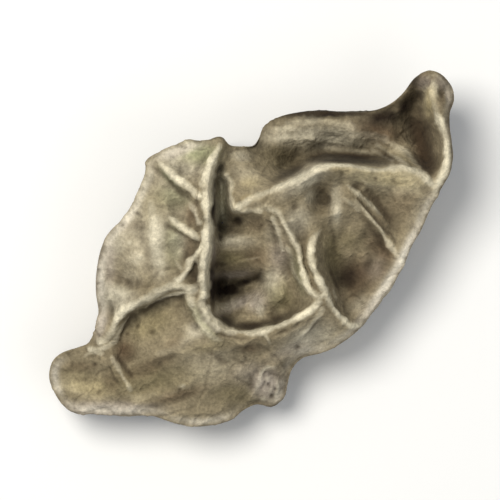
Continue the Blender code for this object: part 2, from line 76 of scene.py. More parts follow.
def makeStudio(look):
    scene = bpy.context.scene
    scene.view_settings.view_transform = "Standard"
    deselectAll()
    reach = look["cameraHeight"] - look["aimHeight"]
    bpy.ops.object.camera_add(location=(0.0, 0.0, look["cameraHeight"]), rotation=(0.0, 0.0, 0.0))
    camera = bpy.context.object
    camera.name = "pictureCamera"
    camera.data.sensor_width = look["sensor"]
    camera.data.lens = look["sensor"] * reach / look["viewWidth"]
    camera.data.clip_start = look["nearestSeen"]
    scene.camera = camera

    bpy.ops.mesh.primitive_plane_add(size=look["floorSize"], location=(0.0, 0.0, 0.0))
    floor = bpy.context.object
    floor.name = "studioFloor"
    paper = bpy.data.materials.new("palePaper")
    paper.use_nodes = True
    shader = paper.node_tree.nodes["Principled BSDF"]
    shader.inputs["Base Color"].default_value = linear(*look["floorColour"])
    shader.inputs["Roughness"].default_value = look["floorRoughness"]
    floor.data.materials.append(paper)

    world = bpy.data.worlds.new("softSky")
    scene.world = world
    world.use_nodes = True
    sky = world.node_tree.nodes["Background"]
    sky.inputs["Color"].default_value = look["skyColour"] + (1.0,)
    sky.inputs["Strength"].default_value = look["skyStrength"]

    for name in ("key", "fill"):
        bpy.ops.object.light_add(type="AREA", location=look[name + "Place"])
        lamp = bpy.context.object
        lamp.name = name + "Light"
        lamp.data.shape = "DISK"
        lamp.data.size = look[name + "Size"]
        lamp.data.energy = look[name + "Watts"]
        lamp.rotation_euler = Vector(look[name + "Place"]).to_track_quat("Z", "Y").to_euler()
    bpy.data.objects["keyLight"].data.color = look["keyColour"]
    print("studio ready")


makeStudio(studio)

# The mushroom's form, in millimetres. Its outline goes clockwise from the front left corner:
# x, y, height of the shoulder, height of the hem's lowest point, and how far the hem rolls under.
leftSide = [
    (-17.6, -12.7, 5.6, 0.0, 1.0), (-17.9, -11.5, 5.8, 0.0, 1.0), (-17.6, -10.2, 6.0, 0.6, 1.0),
    (-16.7, -9.4, 6.2, 1.6, 0.9), (-15.3, -8.9, 6.4, 2.2, 0.8), (-14.2, -8.4, 6.6, 2.2, 0.8),
    (-13.6, -7.2, 7.0, 1.6, 0.9), (-13.3, -5.6, 7.4, 0.8, 1.0), (-13.5, -4.0, 7.7, 0.0, 1.0),
    (-13.5, -2.3, 8.0, 0.0, 1.0), (-13.2, -0.4, 8.3, 0.6, 1.0), (-12.5, 1.3, 8.6, 1.8, 1.0),
    (-11.3, 2.6, 8.9, 2.8, 0.9), (-10.3, 4.0, 9.1, 3.2, 0.8), (-9.5, 5.5, 9.3, 3.4, 0.7),
    (-8.9, 7.0, 9.4, 3.8, 0.6),
]
farSide = [
    (-8.8, 8.2, 9.3, 4.2, 0.5), (-7.7, 8.9, 9.2, 4.2, 0.5), (-6.3, 9.5, 9.1, 3.4, 0.6),
    (-4.9, 10.0, 9.1, 2.6, 0.7), (-3.4, 10.0, 9.4, 2.4, 0.7), (-2.0, 10.3, 9.8, 3.0, 0.5),
    (-1.2, 9.6, 8.8, 3.4, 0.5), (0.0, 9.5, 8.0, 3.6, 0.5), (0.9, 9.6, 7.2, 3.8, 0.5),
    (1.4, 10.3, 6.5, 3.4, 0.5), (1.8, 11.2, 6.0, 2.4, 0.6), (2.8, 12.1, 5.3, 1.2, 0.8),
    (4.6, 12.7, 5.1, 0.4, 1.0), (7.0, 13.0, 5.1, 0.0, 1.0), (9.2, 12.9, 5.2, 0.4, 1.0),
    (11.2, 12.9, 5.5, 1.2, 0.8), (13.1, 13.3, 6.9, 2.9, 0.6), (14.6, 14.4, 8.2, 4.0, 0.5),
    (15.6, 15.7, 9.2, 5.0, 0.5),
]
rightSide = [
    (16.8, 16.3, 9.9, 5.6, 0.5), (18.0, 15.9, 10.0, 5.6, 0.5), (18.9, 14.8, 9.8, 5.2, 0.5),
    (19.1, 13.6, 9.6, 4.8, 0.5), (18.7, 12.4, 9.8, 4.2, 0.5), (18.7, 11.0, 10.2, 3.4, 0.5),
    (18.9, 9.6, 10.3, 2.8, 0.5), (19.0, 8.2, 10.1, 2.2, 0.5), (18.6, 6.7, 9.7, 1.6, 0.6),
    (17.8, 5.2, 9.2, 1.0, 0.7), (17.0, 3.6, 8.8, 0.3, 1.0), (16.3, 1.9, 8.5, 0.0, 1.0),
    (15.3, 0.1, 8.2, 0.6, 0.9), (14.6, -1.6, 7.9, 1.6, 0.7), (13.6, -3.3, 7.6, 2.2, 0.6),
    (12.3, -5.2, 7.2, 1.8, 0.7), (10.9, -7.0, 6.9, 0.8, 0.9), (9.2, -8.4, 6.7, 0.0, 1.0),
    (7.2, -9.4, 6.6, 0.2, 1.0), (5.4, -9.9, 6.4, 1.0, 0.8), (4.5, -10.9, 5.8, 1.6, 0.6),
    (4.1, -12.2, 5.0, 1.6, 0.5),
]
frontSide = [
    (3.8, -13.5, 4.4, 1.4, 0.4), (2.7, -14.4, 4.2, 1.2, 0.4), (1.2, -14.2, 4.6, 1.4, 0.5),
    (0.0, -14.7, 5.0, 1.2, 0.7), (-1.1, -15.6, 5.2, 0.6, 0.9), (-2.9, -16.1, 5.4, 0.0, 1.0),
    (-4.9, -16.2, 5.6, 0.0, 1.0), (-6.6, -15.8, 5.8, 0.8, 0.9), (-8.0, -15.3, 5.8, 1.8, 0.7),
    (-9.4, -15.2, 5.8, 2.2, 0.6), (-11.3, -15.2, 5.8, 1.8, 0.8), (-13.3, -15.1, 5.7, 0.8, 1.0),
    (-15.2, -15.0, 5.6, 0.0, 1.0), (-16.6, -14.3, 5.5, 0.0, 1.0),
]

# the crests of its ridges: x, y, height
crests = {
    "leftLobeWall": [
        (-1.9, 9.8, 10.2), (-2.7, 8.3, 11.0), (-3.2, 6.4, 11.8), (-3.2, 4.2, 12.2), (-3.1, 2.0, 12.4),
        (-3.3, 0.3, 12.2), (-3.5, -1.4, 11.8), (-3.5, -3.1, 11.0), (-3.5, -4.5, 10.2)],
    "leftLobeBrow": [
        (-3.2, 8.5, 10.6), (-3.8, 6.6, 11.3), (-3.9, 4.2, 11.7), (-3.8, 2.4, 11.9), (-4.0, 1.0, 11.8)],
    "leftLobeBranch": [
        (-3.3, 0.6, 12.2), (-4.6, -0.8, 11.6), (-5.2, -1.9, 11.2), (-6.1, -3.0, 11.0)],
    "leftLobeHem": [
        (-3.9, -3.5, 10.6), (-5.0, -3.3, 10.9), (-6.2, -3.1, 11.0), (-7.8, -3.9, 10.6), (-9.6, -4.8, 9.9),
        (-10.9, -5.5, 9.3), (-11.7, -6.5, 8.7), (-12.3, -7.8, 8.0), (-13.3, -8.7, 7.4)],
    "upperVein": [
        (-7.9, 8.3, 9.8), (-6.6, 7.0, 10.8), (-5.4, 6.0, 11.3), (-4.3, 5.1, 11.7), (-3.4, 4.6, 12.0)],
    "middleVein": [
        (-7.0, 3.3, 11.0), (-5.9, 2.5, 11.3), (-4.8, 1.7, 11.7), (-3.7, 1.0, 12.1)],
    "pitFront": [
        (-3.4, -4.8, 10.1), (-2.7, -6.1, 9.8), (-1.6, -7.1, 9.6), (0.0, -7.5, 9.5), (1.5, -7.4, 9.6),
        (3.4, -6.8, 9.9), (5.0, -6.0, 10.2), (6.2, -5.2, 10.4), (6.9, -4.4, 10.4)],
    "pitRight": [
        (1.9, 3.7, 10.8), (2.9, 3.5, 11.2), (3.6, 2.6, 11.0), (4.3, 1.4, 10.8), (4.9, 0.1, 10.6),
        (5.2, -1.2, 10.5), (5.5, -2.4, 10.4), (6.1, -3.6, 10.4), (6.9, -4.4, 10.4)],
    "hollowLeft": [
        (7.2, 2.2, 10.0), (6.3, 1.1, 10.6), (6.0, -0.3, 10.9), (6.3, -1.5, 10.9), (6.8, -2.7, 10.7),
        (7.3, -3.6, 10.5), (7.9, -4.8, 10.0), (8.5, -5.9, 9.3), (9.5, -6.6, 8.5)],
    "straightVein": [
        (8.8, 6.2, 11.2), (10.0, 5.0, 10.6), (11.2, 3.8, 10.2), (12.3, 2.5, 9.8), (13.2, 1.2, 9.4),
        (14.1, -0.3, 8.8)],
    "farRidge": [
        (-0.8, 3.7, 9.8), (0.4, 4.5, 10.4), (1.5, 4.9, 10.9), (2.8, 5.4, 11.4), (4.3, 6.1, 11.9),
        (5.5, 6.7, 12.3), (6.5, 7.3, 12.6), (7.7, 7.6, 12.7), (9.3, 7.6, 12.6), (11.0, 7.4, 12.2),
        (12.6, 7.2, 11.6), (14.4, 7.5, 11.0), (15.8, 7.0, 10.5), (16.8, 6.3, 10.2), (17.6, 5.7, 9.7)],
    "slotLip": [
        (-1.9, 6.9, 9.0), (-1.2, 6.2, 9.2), (-1.1, 4.9, 9.4), (-0.8, 3.8, 9.8), (0.6, 3.6, 10.1),
        (1.9, 3.6, 10.7)],
    "curlRim": [
        (17.2, 15.5, 10.4), (17.1, 14.0, 10.6), (17.4, 12.6, 10.7), (18.0, 11.3, 10.8), (18.3, 10.0, 10.9),
        (18.4, 8.6, 10.8), (18.1, 7.2, 10.4), (17.5, 5.8, 9.9), (16.9, 4.5, 9.4)],
    "leftLobeRidge": [
        (-8.3, 4.2, 10.4), (-8.1, 2.4, 10.8), (-7.9, 0.6, 11.0), (-7.6, -1.4, 10.8)],
    "pitShelfTop": [
        (-2.2, 1.2, 7.3), (-1.0, 1.3, 7.7), (0.4, 1.3, 8.1), (1.6, 0.9, 8.5)],
    "pitShelfEdge": [
        (-2.3, -1.3, 6.6), (-1.0, -1.5, 6.8), (0.4, -1.6, 7.1), (1.7, -1.7, 7.7)],
    "flapCrest": [
        (3.0, 11.2, 5.9), (4.8, 11.6, 6.3), (7.0, 11.8, 6.5), (9.4, 11.6, 6.5), (11.6, 11.2, 6.3),
        (13.4, 10.8, 6.2)],
    "lowerLobeVein": [
        (-12.1, -9.5, 7.9), (-11.8, -10.3, 7.8), (-11.1, -11.3, 7.6), (-10.4, -12.3, 7.3)],
    "lowerLobeFold": [
        (-9.0, -9.8, 8.2), (-7.0, -9.2, 8.9), (-5.4, -8.2, 9.4), (-4.3, -7.2, 9.6), (-4.6, -5.8, 9.8),
        (-5.1, -4.6, 10.2)],
}
# creases and floors of the hollows
creases = {
    "slotFloor": [
        (-2.1, 7.8, 8.9), (-2.1, 6.3, 7.2), (-2.0, 4.6, 6.3), (-2.1, 3.2, 6.0), (-2.2, 2.3, 6.1)],
    "pitFloor": [
        (-2.4, -3.0, 3.6), (-2.2, -4.0, 3.2), (-1.2, -3.8, 3.2), (0.2, -3.2, 3.8), (1.4, -2.6, 5.0)],
    "pitFrontCrease": [
        (-2.0, -5.4, 5.4), (-1.0, -6.4, 6.4), (0.6, -6.7, 7.0), (2.4, -6.3, 7.6), (4.2, -5.5, 8.2)],
    "pitRightCrease": [
        (4.7, -4.6, 8.4), (4.6, -3.0, 8.3), (4.3, -1.6, 8.4)],
    "ridgeGroove": [
        (5.4, 1.4, 10.0), (5.5, 0.0, 10.1), (5.8, -1.6, 10.1), (6.4, -3.0, 10.0)],
    "hollowLeftCrease": [
        (7.6, -0.3, 8.4), (8.1, -1.8, 7.5), (8.7, -3.2, 7.1), (9.2, -4.6, 7.2), (9.7, -5.6, 7.4)],
    "veinCrease": [
        (10.2, 5.8, 10.0), (11.7, 4.4, 9.3), (12.8, 3.0, 8.9), (13.8, 1.4, 8.6)],
    "farRidgeFoot": [
        (2.4, 7.9, 6.4), (3.4, 7.3, 6.0), (4.8, 7.4, 5.7), (6.0, 8.3, 5.3), (7.6, 8.7, 5.1),
        (9.4, 8.7, 5.2), (11.2, 8.4, 5.5), (12.8, 8.5, 6.2), (14.6, 8.9, 6.8)],
    "curlInside": [
        (16.8, 8.2, 6.6), (16.9, 9.6, 5.6), (16.7, 11.0, 5.3), (16.2, 12.4, 5.6), (16.1, 14.0, 6.6)],
    "lobeHemCrease": [
        (-5.6, -4.4, 9.1), (-7.9, -4.9, 8.6), (-9.6, -5.8, 8.0), (-10.8, -6.9, 7.4), (-11.4, -8.2, 7.0)],
    "branchCrease": [
        (-4.3, -1.3, 11.1), (-4.5, -2.5, 10.6)],
    "marginFold": [
        (-6.0, -13.8, 6.9), (-7.2, -14.1, 6.6), (-8.4, -14.5, 6.1)],
}
# single heights on the broad faces between them
broadHeights = [
    (-4.7, 8.4, 9.7), (-5.6, 7.6, 9.9), (-7.6, 5.4, 10.0), (-5.8, 4.3, 10.4), (-9.6, 2.6, 9.8),
    (-6.2, 0.4, 10.6), (-9.8, -0.6, 10.1), (-10.8, 1.0, 9.6), (-12.2, -0.8, 9.0),
    (-10.6, -2.7, 8.8), (-12.2, -3.6, 8.6), (-11.9, -5.4, 8.2),
    (-9.3, -7.6, 7.8), (-7.2, -6.4, 8.6), (-10.5, -9.0, 6.9), (-14.4, -10.6, 6.7), (-16.0, -12.2, 6.4),
    (-13.4, -12.6, 6.8), (-9.5, -11.6, 7.4), (-6.6, -11.6, 7.9), (-3.6, -9.6, 8.8), (-3.4, -12.4, 7.5),
    (-1.0, -9.4, 8.8), (-0.6, -11.8, 7.4), (1.6, -9.2, 8.5), (-3.4, -14.4, 6.5), (-10.6, -13.8, 6.7),
    (1.4, -11.4, 6.8), (2.6, -12.8, 5.6), (3.8, -9.0, 8.2), (6.0, -7.6, 8.6), (7.9, -7.6, 8.0),
    (-0.6, 2.6, 6.6), (0.9, 2.4, 8.8), (2.6, 1.4, 9.2), (0.2, -0.2, 7.6), (1.8, -0.4, 8.2),
    (3.4, -0.4, 8.9), (2.7, -2.8, 8.4), (3.4, -4.0, 8.8), (1.7, -4.8, 7.6), (-0.2, -5.0, 5.9),
    (0.4, 7.8, 8.5), (1.4, 6.7, 9.0), (-0.3, 6.0, 9.4), (-0.4, 8.7, 8.4),
    (4.6, 4.4, 11.0), (5.0, 2.6, 10.4), (8.3, 4.4, 10.9), (7.2, 3.2, 10.6), (6.8, 6.5, 11.8),
    (9.8, 2.6, 9.4), (9.4, 0.4, 7.8), (10.4, -1.6, 6.9), (9.4, -2.6, 6.6), (10.6, -4.0, 7.0),
    (12.2, -2.4, 7.9), (12.0, 0.2, 8.0), (11.2, -5.6, 7.4),
    (14.0, 4.6, 9.4), (13.6, 6.2, 10.6), (15.6, 3.4, 9.0), (15.0, 1.4, 8.6), (11.4, 6.2, 11.2),
    (3.4, 9.4, 5.9), (6.4, 10.0, 5.6), (10.0, 10.0, 5.5), (13.4, 9.6, 6.0), (14.2, 12.6, 6.2),
    (17.9, 14.2, 9.2),
]
dimple = {
    "place": (7.1, 4.7),
    "radius": 1.10,
    "floor": (0.5, 9.2),        # share of the radius, and height there
    "brow": (1.35, 11.2),
    "samples": 8,
}

skin = {
    "crestRounding": 0.42,
    "sampleStep": 0.60,
    "closestSamples": 0.30,
    "latticeStep": 0.20,
    "latticeMargin": 1.0,
    "slopeBlur": 12,            # times that the steepness is averaged
    "plainRing": 368,           # cells round the outline that the next two are meant for
    "outwardBlur": 10,          # times that the outward directions are averaged
    "roomReach": 10,            # cells to each side that share their least room
}
hem = {
    "start": 48.0,              # the hem runs down an oval: its angle at the shoulder
    "angle": 165.0,             # and the angle that a fully rolled one runs through
    "leastTurn": 0.4,
    "tuck": 2.8,                # how far a fully rolled one tucks in under the outline
    "leastTuck": 0.4,           # share of it where the hem only bends down
    "tuckShare": 0.40,          # at most this share of the room there
    "flutes": 19,
    "fluteDepth": 0.45,
    "fluteGrowth": 1.5,         # the flutes grow towards the free edge by this power
    "fluteDrift": (2.0, 3.0),   # how far they drift sideways, and how many times a round
}
# cells across and up, rows of cells in the hem, the coarse grids that the cells are evened out
# on (part of the cells, steps), and the most that a steep wall draws cells to itself
feltGrid = {"cells": (248, 256), "hemRows": 18, "levels": ((4, 400), (2, 120), (1, 60)), "steepest": 3.2}
backGrid = {"cells": (96, 100), "hemRows": 10, "levels": ((2, 400), (1, 120)), "steepest": 5.0}


def smoothLine(points, count, before=None, after=None):  # even points on a smooth curve
    points = np.array(points, dtype=float)
    before = 2.0 * points[0] - points[1] if before is None else np.array(before)
    after = 2.0 * points[-1] - points[-2] if after is None else np.array(after)
    guide = np.vstack([before, points, after])
    share = np.linspace(0.0, 1.0, 16, endpoint=False)[:, None]
    pieces = []
    for a, b, c, d in zip(guide, guide[1:], guide[2:], guide[3:]):
        pieces.append(b + 0.5 * share * (c - a) + share ** 2 * (a - 2.5 * b + 2.0 * c - 0.5 * d)
                      + share ** 3 * (1.5 * b - 0.5 * a - 1.5 * c + 0.5 * d))
    curve = np.vstack(pieces + [points[-1:]])
    along = np.concatenate([[0.0], np.cumsum(planSteps(curve))])
    wanted = np.linspace(0.0, along[-1], count + 1)
    return np.stack([np.interp(wanted, along, column) for column in curve.T], axis=1)


def planSteps(line):
    return np.linalg.norm(np.diff(np.array(line)[:, :2], axis=0), axis=1)


def steppedLine(path, step, least):  # points a step apart, at least so many
    return smoothLine(path, max(least, round(planSteps(path).sum() / step)))


def alongAndAcross(places, x, y, degrees):  # places as seen from a point in a direction
    turn = np.radians(degrees)
    u = (places[:, 0] - x) * np.cos(turn) + (places[:, 1] - y) * np.sin(turn)
    v = -(places[:, 0] - x) * np.sin(turn) + (places[:, 1] - y) * np.cos(turn)
    return u, v


def heightSamples():  # every place whose height is given
    rows = []
    for line in list(crests.values()) + list(creases.values()):
        rows.append(steppedLine(line, skin["sampleStep"], 2))
    rows.append(np.array(broadHeights))
    turn = np.linspace(0.0, 2.0 * np.pi, dimple["samples"], endpoint=False)
    around = dimple["radius"] * np.stack([np.cos(turn), np.sin(turn)], axis=1)
    for share, level in (dimple["floor"], dimple["brow"]):
        rows.append(np.column_stack([dimple["place"] + share * around, np.full(len(around), level)]))
    rows.append(np.array(leftSide + farSide + rightSide + frontSide)[:, :3])
    kept = []
    for row in np.vstack(rows):
        if all(np.hypot(*(row[:2] - other[:2])) > skin["closestSamples"] for other in kept):
            kept.append(row)
    return np.array(kept)


samples = heightSamples()


def sampleReach(places):
    gap = places[:, None, :] - samples[None, :, :2]
    return np.sqrt((gap ** 2).sum(axis=2) + skin["crestRounding"] ** 2)


sampleWeights = np.linalg.solve(sampleReach(samples[:, :2]), samples[:, 2])


def skinHeight(places):  # the tight skin over all the samples
    flat = places.reshape(-1, 2)
    parts = [sampleReach(flat[i:i + 4000]) @ sampleWeights for i in range(0, len(flat), 4000)]
    return np.concatenate(parts).reshape(places.shape[:-1])


def readLattice(lattice, places):  # a value between the lattice's points
    values = lattice["values"]
    last = np.array(values.shape[::-1]) - 1.001
    spot = np.clip((places - lattice["low"]) / skin["latticeStep"], 0, last)
    c = spot[..., 0].astype(int)
    r = spot[..., 1].astype(int)
    u = spot[..., 0] - c
    v = spot[..., 1] - r
    near = values[r, c] * (1 - u) + values[r, c + 1] * u
    far = values[r + 1, c] * (1 - u) + values[r + 1, c + 1] * u
    return near * (1 - v) + far * v


def slopeLattice(ring, most):  # how strongly each place draws cells to itself
    step = skin["latticeStep"]
    low = ring.min(axis=0) - skin["latticeMargin"]
    high = ring.max(axis=0) + skin["latticeMargin"]
    xs = np.arange(low[0], high[0] + step, step)
    ys = np.arange(low[1], high[1] + step, step)
    heights = skinHeight(np.stack(np.meshgrid(xs, ys), axis=2))
    alongY, alongX = np.gradient(heights, step)
    steepness = np.minimum(np.sqrt(1.0 + alongX ** 2 + alongY ** 2), most)
    for _ in range(skin["slopeBlur"]):
        padded = np.pad(steepness, 1, mode="edge")
        across = padded[:, :-2] + 2.0 * padded[:, 1:-1] + padded[:, 2:]
        steepness = (across[:-2] + 2.0 * across[1:-1] + across[2:]) / 16.0
    return {"low": low, "values": steepness}


def ringBlur(values, times):
    for _ in range(times):
        values = (np.roll(values, 1, axis=0) + 2.0 * values + np.roll(values, -1, axis=0)) / 4.0
    return values


def outlineRing(cells):
    sides = (leftSide, farSide, rightSide, frontSide)
    counts = (cells[1], cells[0], cells[1], cells[0])
    parts = []
    for i, side in enumerate(sides):
        following = sides[(i + 1) % 4]
        parts.append(smoothLine(side + following[:1], counts[i], sides[i - 1][-1], following[1])[:-1])
    ring = np.vstack(parts)
    ring[:, 3] = np.maximum(ring[:, 3], 0.0)
    ring[:, 4] = np.clip(ring[:, 4], hem["leastTurn"], 1.0)
    return ring


def hemPlan(cells):  # the outline, its outward directions, and how far the hem tucks in
    outline = outlineRing(cells)
    ring = outline[:, :2]
    times = round(skin["outwardBlur"] * (len(ring) / skin["plainRing"]) ** 2)
    ahead = np.roll(ring, -1, axis=0) - np.roll(ring, 1, axis=0)
    out = ringBlur(np.stack([-ahead[:, 1], ahead[:, 0]], axis=1), times)
    out /= np.linalg.norm(out, axis=1, keepdims=True)
    gap = ring[None] - ring[:, None]
    depth = -(gap * out[:, None]).sum(axis=2)
    square = (gap ** 2).sum(axis=2)
    most = hem["tuck"] / hem["tuckShare"]
    room = np.where(depth > 1e-6, square / np.maximum(2.0 * depth, 1e-6), most).min(axis=1)
    width = round(skin["roomReach"] * len(ring) / skin["plainRing"])
    room = np.min([np.roll(room, k) for k in range(-width, width + 1)], axis=0)
    turned = hem["leastTuck"] + (1.0 - hem["leastTuck"]) * outline[:, 4]
    tuck = np.minimum(hem["tuckShare"] * room, hem["tuck"] * turned)
    return outline, out, ringBlur(tuck, 2 * times)


def patch(shoulder, cells, start=None):  # a grid inside the ring, from its sides or from a coarser grid
    a, b, c = cells[1], cells[1] + cells[0], 2 * cells[1] + cells[0]
    left = shoulder[:a + 1]
    far = shoulder[a:b + 1]
    right = shoulder[b:c + 1][::-1]
    front = np.vstack([shoulder[c:], shoulder[:1]])[::-1]
    s = np.linspace(0.0, 1.0, cells[0] + 1)[None, :, None]
    t = np.linspace(0.0, 1.0, cells[1] + 1)[:, None, None]
    grid = (1 - t) * front[None] + t * far[None] + (1 - s) * left[:, None] + s * right[:, None]
    grid = grid - (1 - s) * ((1 - t) * front[0] + t * far[0]) - s * ((1 - t) * front[-1] + t * far[-1])
    if start is not None:
        row = t[:, 0, 0] * (start.shape[0] - 1)
        column = s[0, :, 0] * (start.shape[1] - 1)
        r = np.minimum(row.astype(int), start.shape[0] - 2)
        k = np.minimum(column.astype(int), start.shape[1] - 2)
        v = (row - r)[:, None, None]
        u = (column - k)[None, :, None]
        finer = ((start[r][:, k] * (1 - u) + start[r][:, k + 1] * u) * (1 - v)
                 + (start[r + 1][:, k] * (1 - u) + start[r + 1][:, k + 1] * u) * v)
        grid[1:-1, 1:-1] = finer[1:-1, 1:-1]
    return grid


def evenOut(grid, crowding, steps):  # spreads the cells evenly over the folds
    for _ in range(steps):
        pull = readLattice(crowding, grid)
        pullX = (pull[1:-1, 1:] + pull[1:-1, :-1])[..., None] / 2.0
        pullY = (pull[1:, 1:-1] + pull[:-1, 1:-1])[..., None] / 2.0
        stepX = (grid[1:-1, 2:] - grid[1:-1, :-2]) / 2.0
        stepY = (grid[2:, 1:-1] - grid[:-2, 1:-1]) / 2.0
        twist = (grid[2:, 2:] - grid[2:, :-2] - grid[:-2, 2:] + grid[:-2, :-2]) / 4.0
        skew = (stepX * stepY).sum(axis=2, keepdims=True) * pull[1:-1, 1:-1, None]
        across = (stepY ** 2).sum(axis=2, keepdims=True)
        along = (stepX ** 2).sum(axis=2, keepdims=True)
        pulled = across * (pullX[:, 1:] * grid[1:-1, 2:] + pullX[:, :-1] * grid[1:-1, :-2])
        pulled = pulled + along * (pullY[1:] * grid[2:, 1:-1] + pullY[:-1] * grid[:-2, 1:-1])
        total = across * (pullX[:, 1:] + pullX[:, :-1]) + along * (pullY[1:] + pullY[:-1])
        grid[1:-1, 1:-1] = (pulled - 2.0 * skew * twist) / total
    return grid


def skinGrid(look, plan):  # from a coarse grid to the wanted one
    outline, out, tuck = plan
    crowding = slopeLattice(outline[:, :2], look["steepest"])
    inset = tuck * (1.0 - np.cos(np.radians(hem["start"])))
    shoulder = outline[:, :2] - out * inset[:, None]
    grid = None
    for part, steps in look["levels"]:
        coarse = (look["cells"][0] // part, look["cells"][1] // part)
        grid = evenOut(patch(shoulder[::part], coarse, grid), crowding, steps)
    return np.concatenate([grid, skinHeight(grid)[..., None]], axis=2)


def hemRings(plan, shoulder, rows):  # the hem's rings of places, from the shoulder to its free edge
    outline, out, tuck = plan
    start = np.radians(hem["start"])
    tall = (shoulder[:, 2] - outline[:, 3]) / (1.0 + np.sin(start))
    roundShare = np.linspace(0.0, 2.0 * np.pi, len(outline), endpoint=False)
    drift, turns = hem["fluteDrift"]
    flute = hem["fluteDepth"] * tuck / hem["tuck"]
    flute = flute * np.sin(hem["flutes"] * roundShare + drift * np.sin(turns * roundShare))
    rings = []
    for k in range(1, rows + 1):
        angle = start - np.radians(hem["angle"]) * outline[:, 4] * k / rows
        reach = tuck * (np.cos(angle) - np.cos(start)) + flute * (k / rows) ** hem["fluteGrowth"]
        rise = tall * (np.sin(angle) - np.sin(start))
        rings.append(np.column_stack([shoulder[:, :2] + out * reach[:, None], shoulder[:, 2] + rise]))
    return rings


def gridLoop(grid):  # the grid's border, clockwise from the front left corner
    index = np.arange(grid[..., 0].size).reshape(grid.shape[:2])
    return np.concatenate([index[:-1, 0], index[-1, :-1], index[:0:-1, -1], index[0, :0:-1]])


def meshFromGrid(name, cells, grid, rings):  # a grid primitive, moved into place and extruded ring by ring
    deselectAll()
    bpy.ops.mesh.primitive_grid_add(x_subdivisions=cells[0], y_subdivisions=cells[1], size=1.0)
    piece = bpy.context.object
    piece.name = name
    mesh = piece.data
    loop = gridLoop(grid)
    spots = np.full(len(mesh.vertices), -1, dtype=np.int32)
    spots[loop] = np.arange(len(loop))
    mesh.attributes.new("spot", "INT", "POINT").data.foreach_set("value", spots)
    places = grid.reshape(-1, 3)
    mesh.vertices.foreach_set("co", (places * mm).ravel())
    order = [np.arange(len(places))]
    bpy.ops.object.mode_set(mode="EDIT")
    bpy.ops.mesh.select_all(action="SELECT")
    bpy.ops.mesh.region_to_loop()
    for ring in rings:
        bpy.ops.mesh.extrude_edges_move()
        bpy.ops.object.mode_set(mode="OBJECT")
        mesh = piece.data
        count = len(mesh.vertices)
        spots = np.zeros(count, dtype=np.int32)
        mesh.attributes["spot"].data.foreach_get("value", spots)
        fresh = np.arange(count - len(loop), count)
        co = np.zeros(count * 3)
        mesh.vertices.foreach_get("co", co)
        co = co.reshape(-1, 3)
        co[fresh] = ring[spots[fresh]] * mm
        mesh.vertices.foreach_set("co", co.ravel())
        order.append(spots[fresh])
        bpy.ops.object.mode_set(mode="EDIT")
    bpy.ops.object.mode_set(mode="OBJECT")
    piece.data.update()
    return piece, order


def startFace(name, look):  # one face of the sheet with its hem, still smooth
    plan = hemPlan(look["cells"])
    grid = skinGrid(look, plan)
    rings = hemRings(plan, grid.reshape(-1, 3)[gridLoop(grid)], look["hemRows"])
    piece, order = meshFromGrid(name, look["cells"], grid, rings)
    return piece, plan, grid, order


def vertexPlaces(piece):
    co = np.zeros(len(piece.data.vertices) * 3)
    piece.data.vertices.foreach_get("co", co)
    return co.reshape(-1, 3) / mm


def vertexNormals(piece):
    normals = np.zeros(len(piece.data.vertices) * 3)
    piece.data.vertices.foreach_get("normal", normals)
    return normals.reshape(-1, 3)


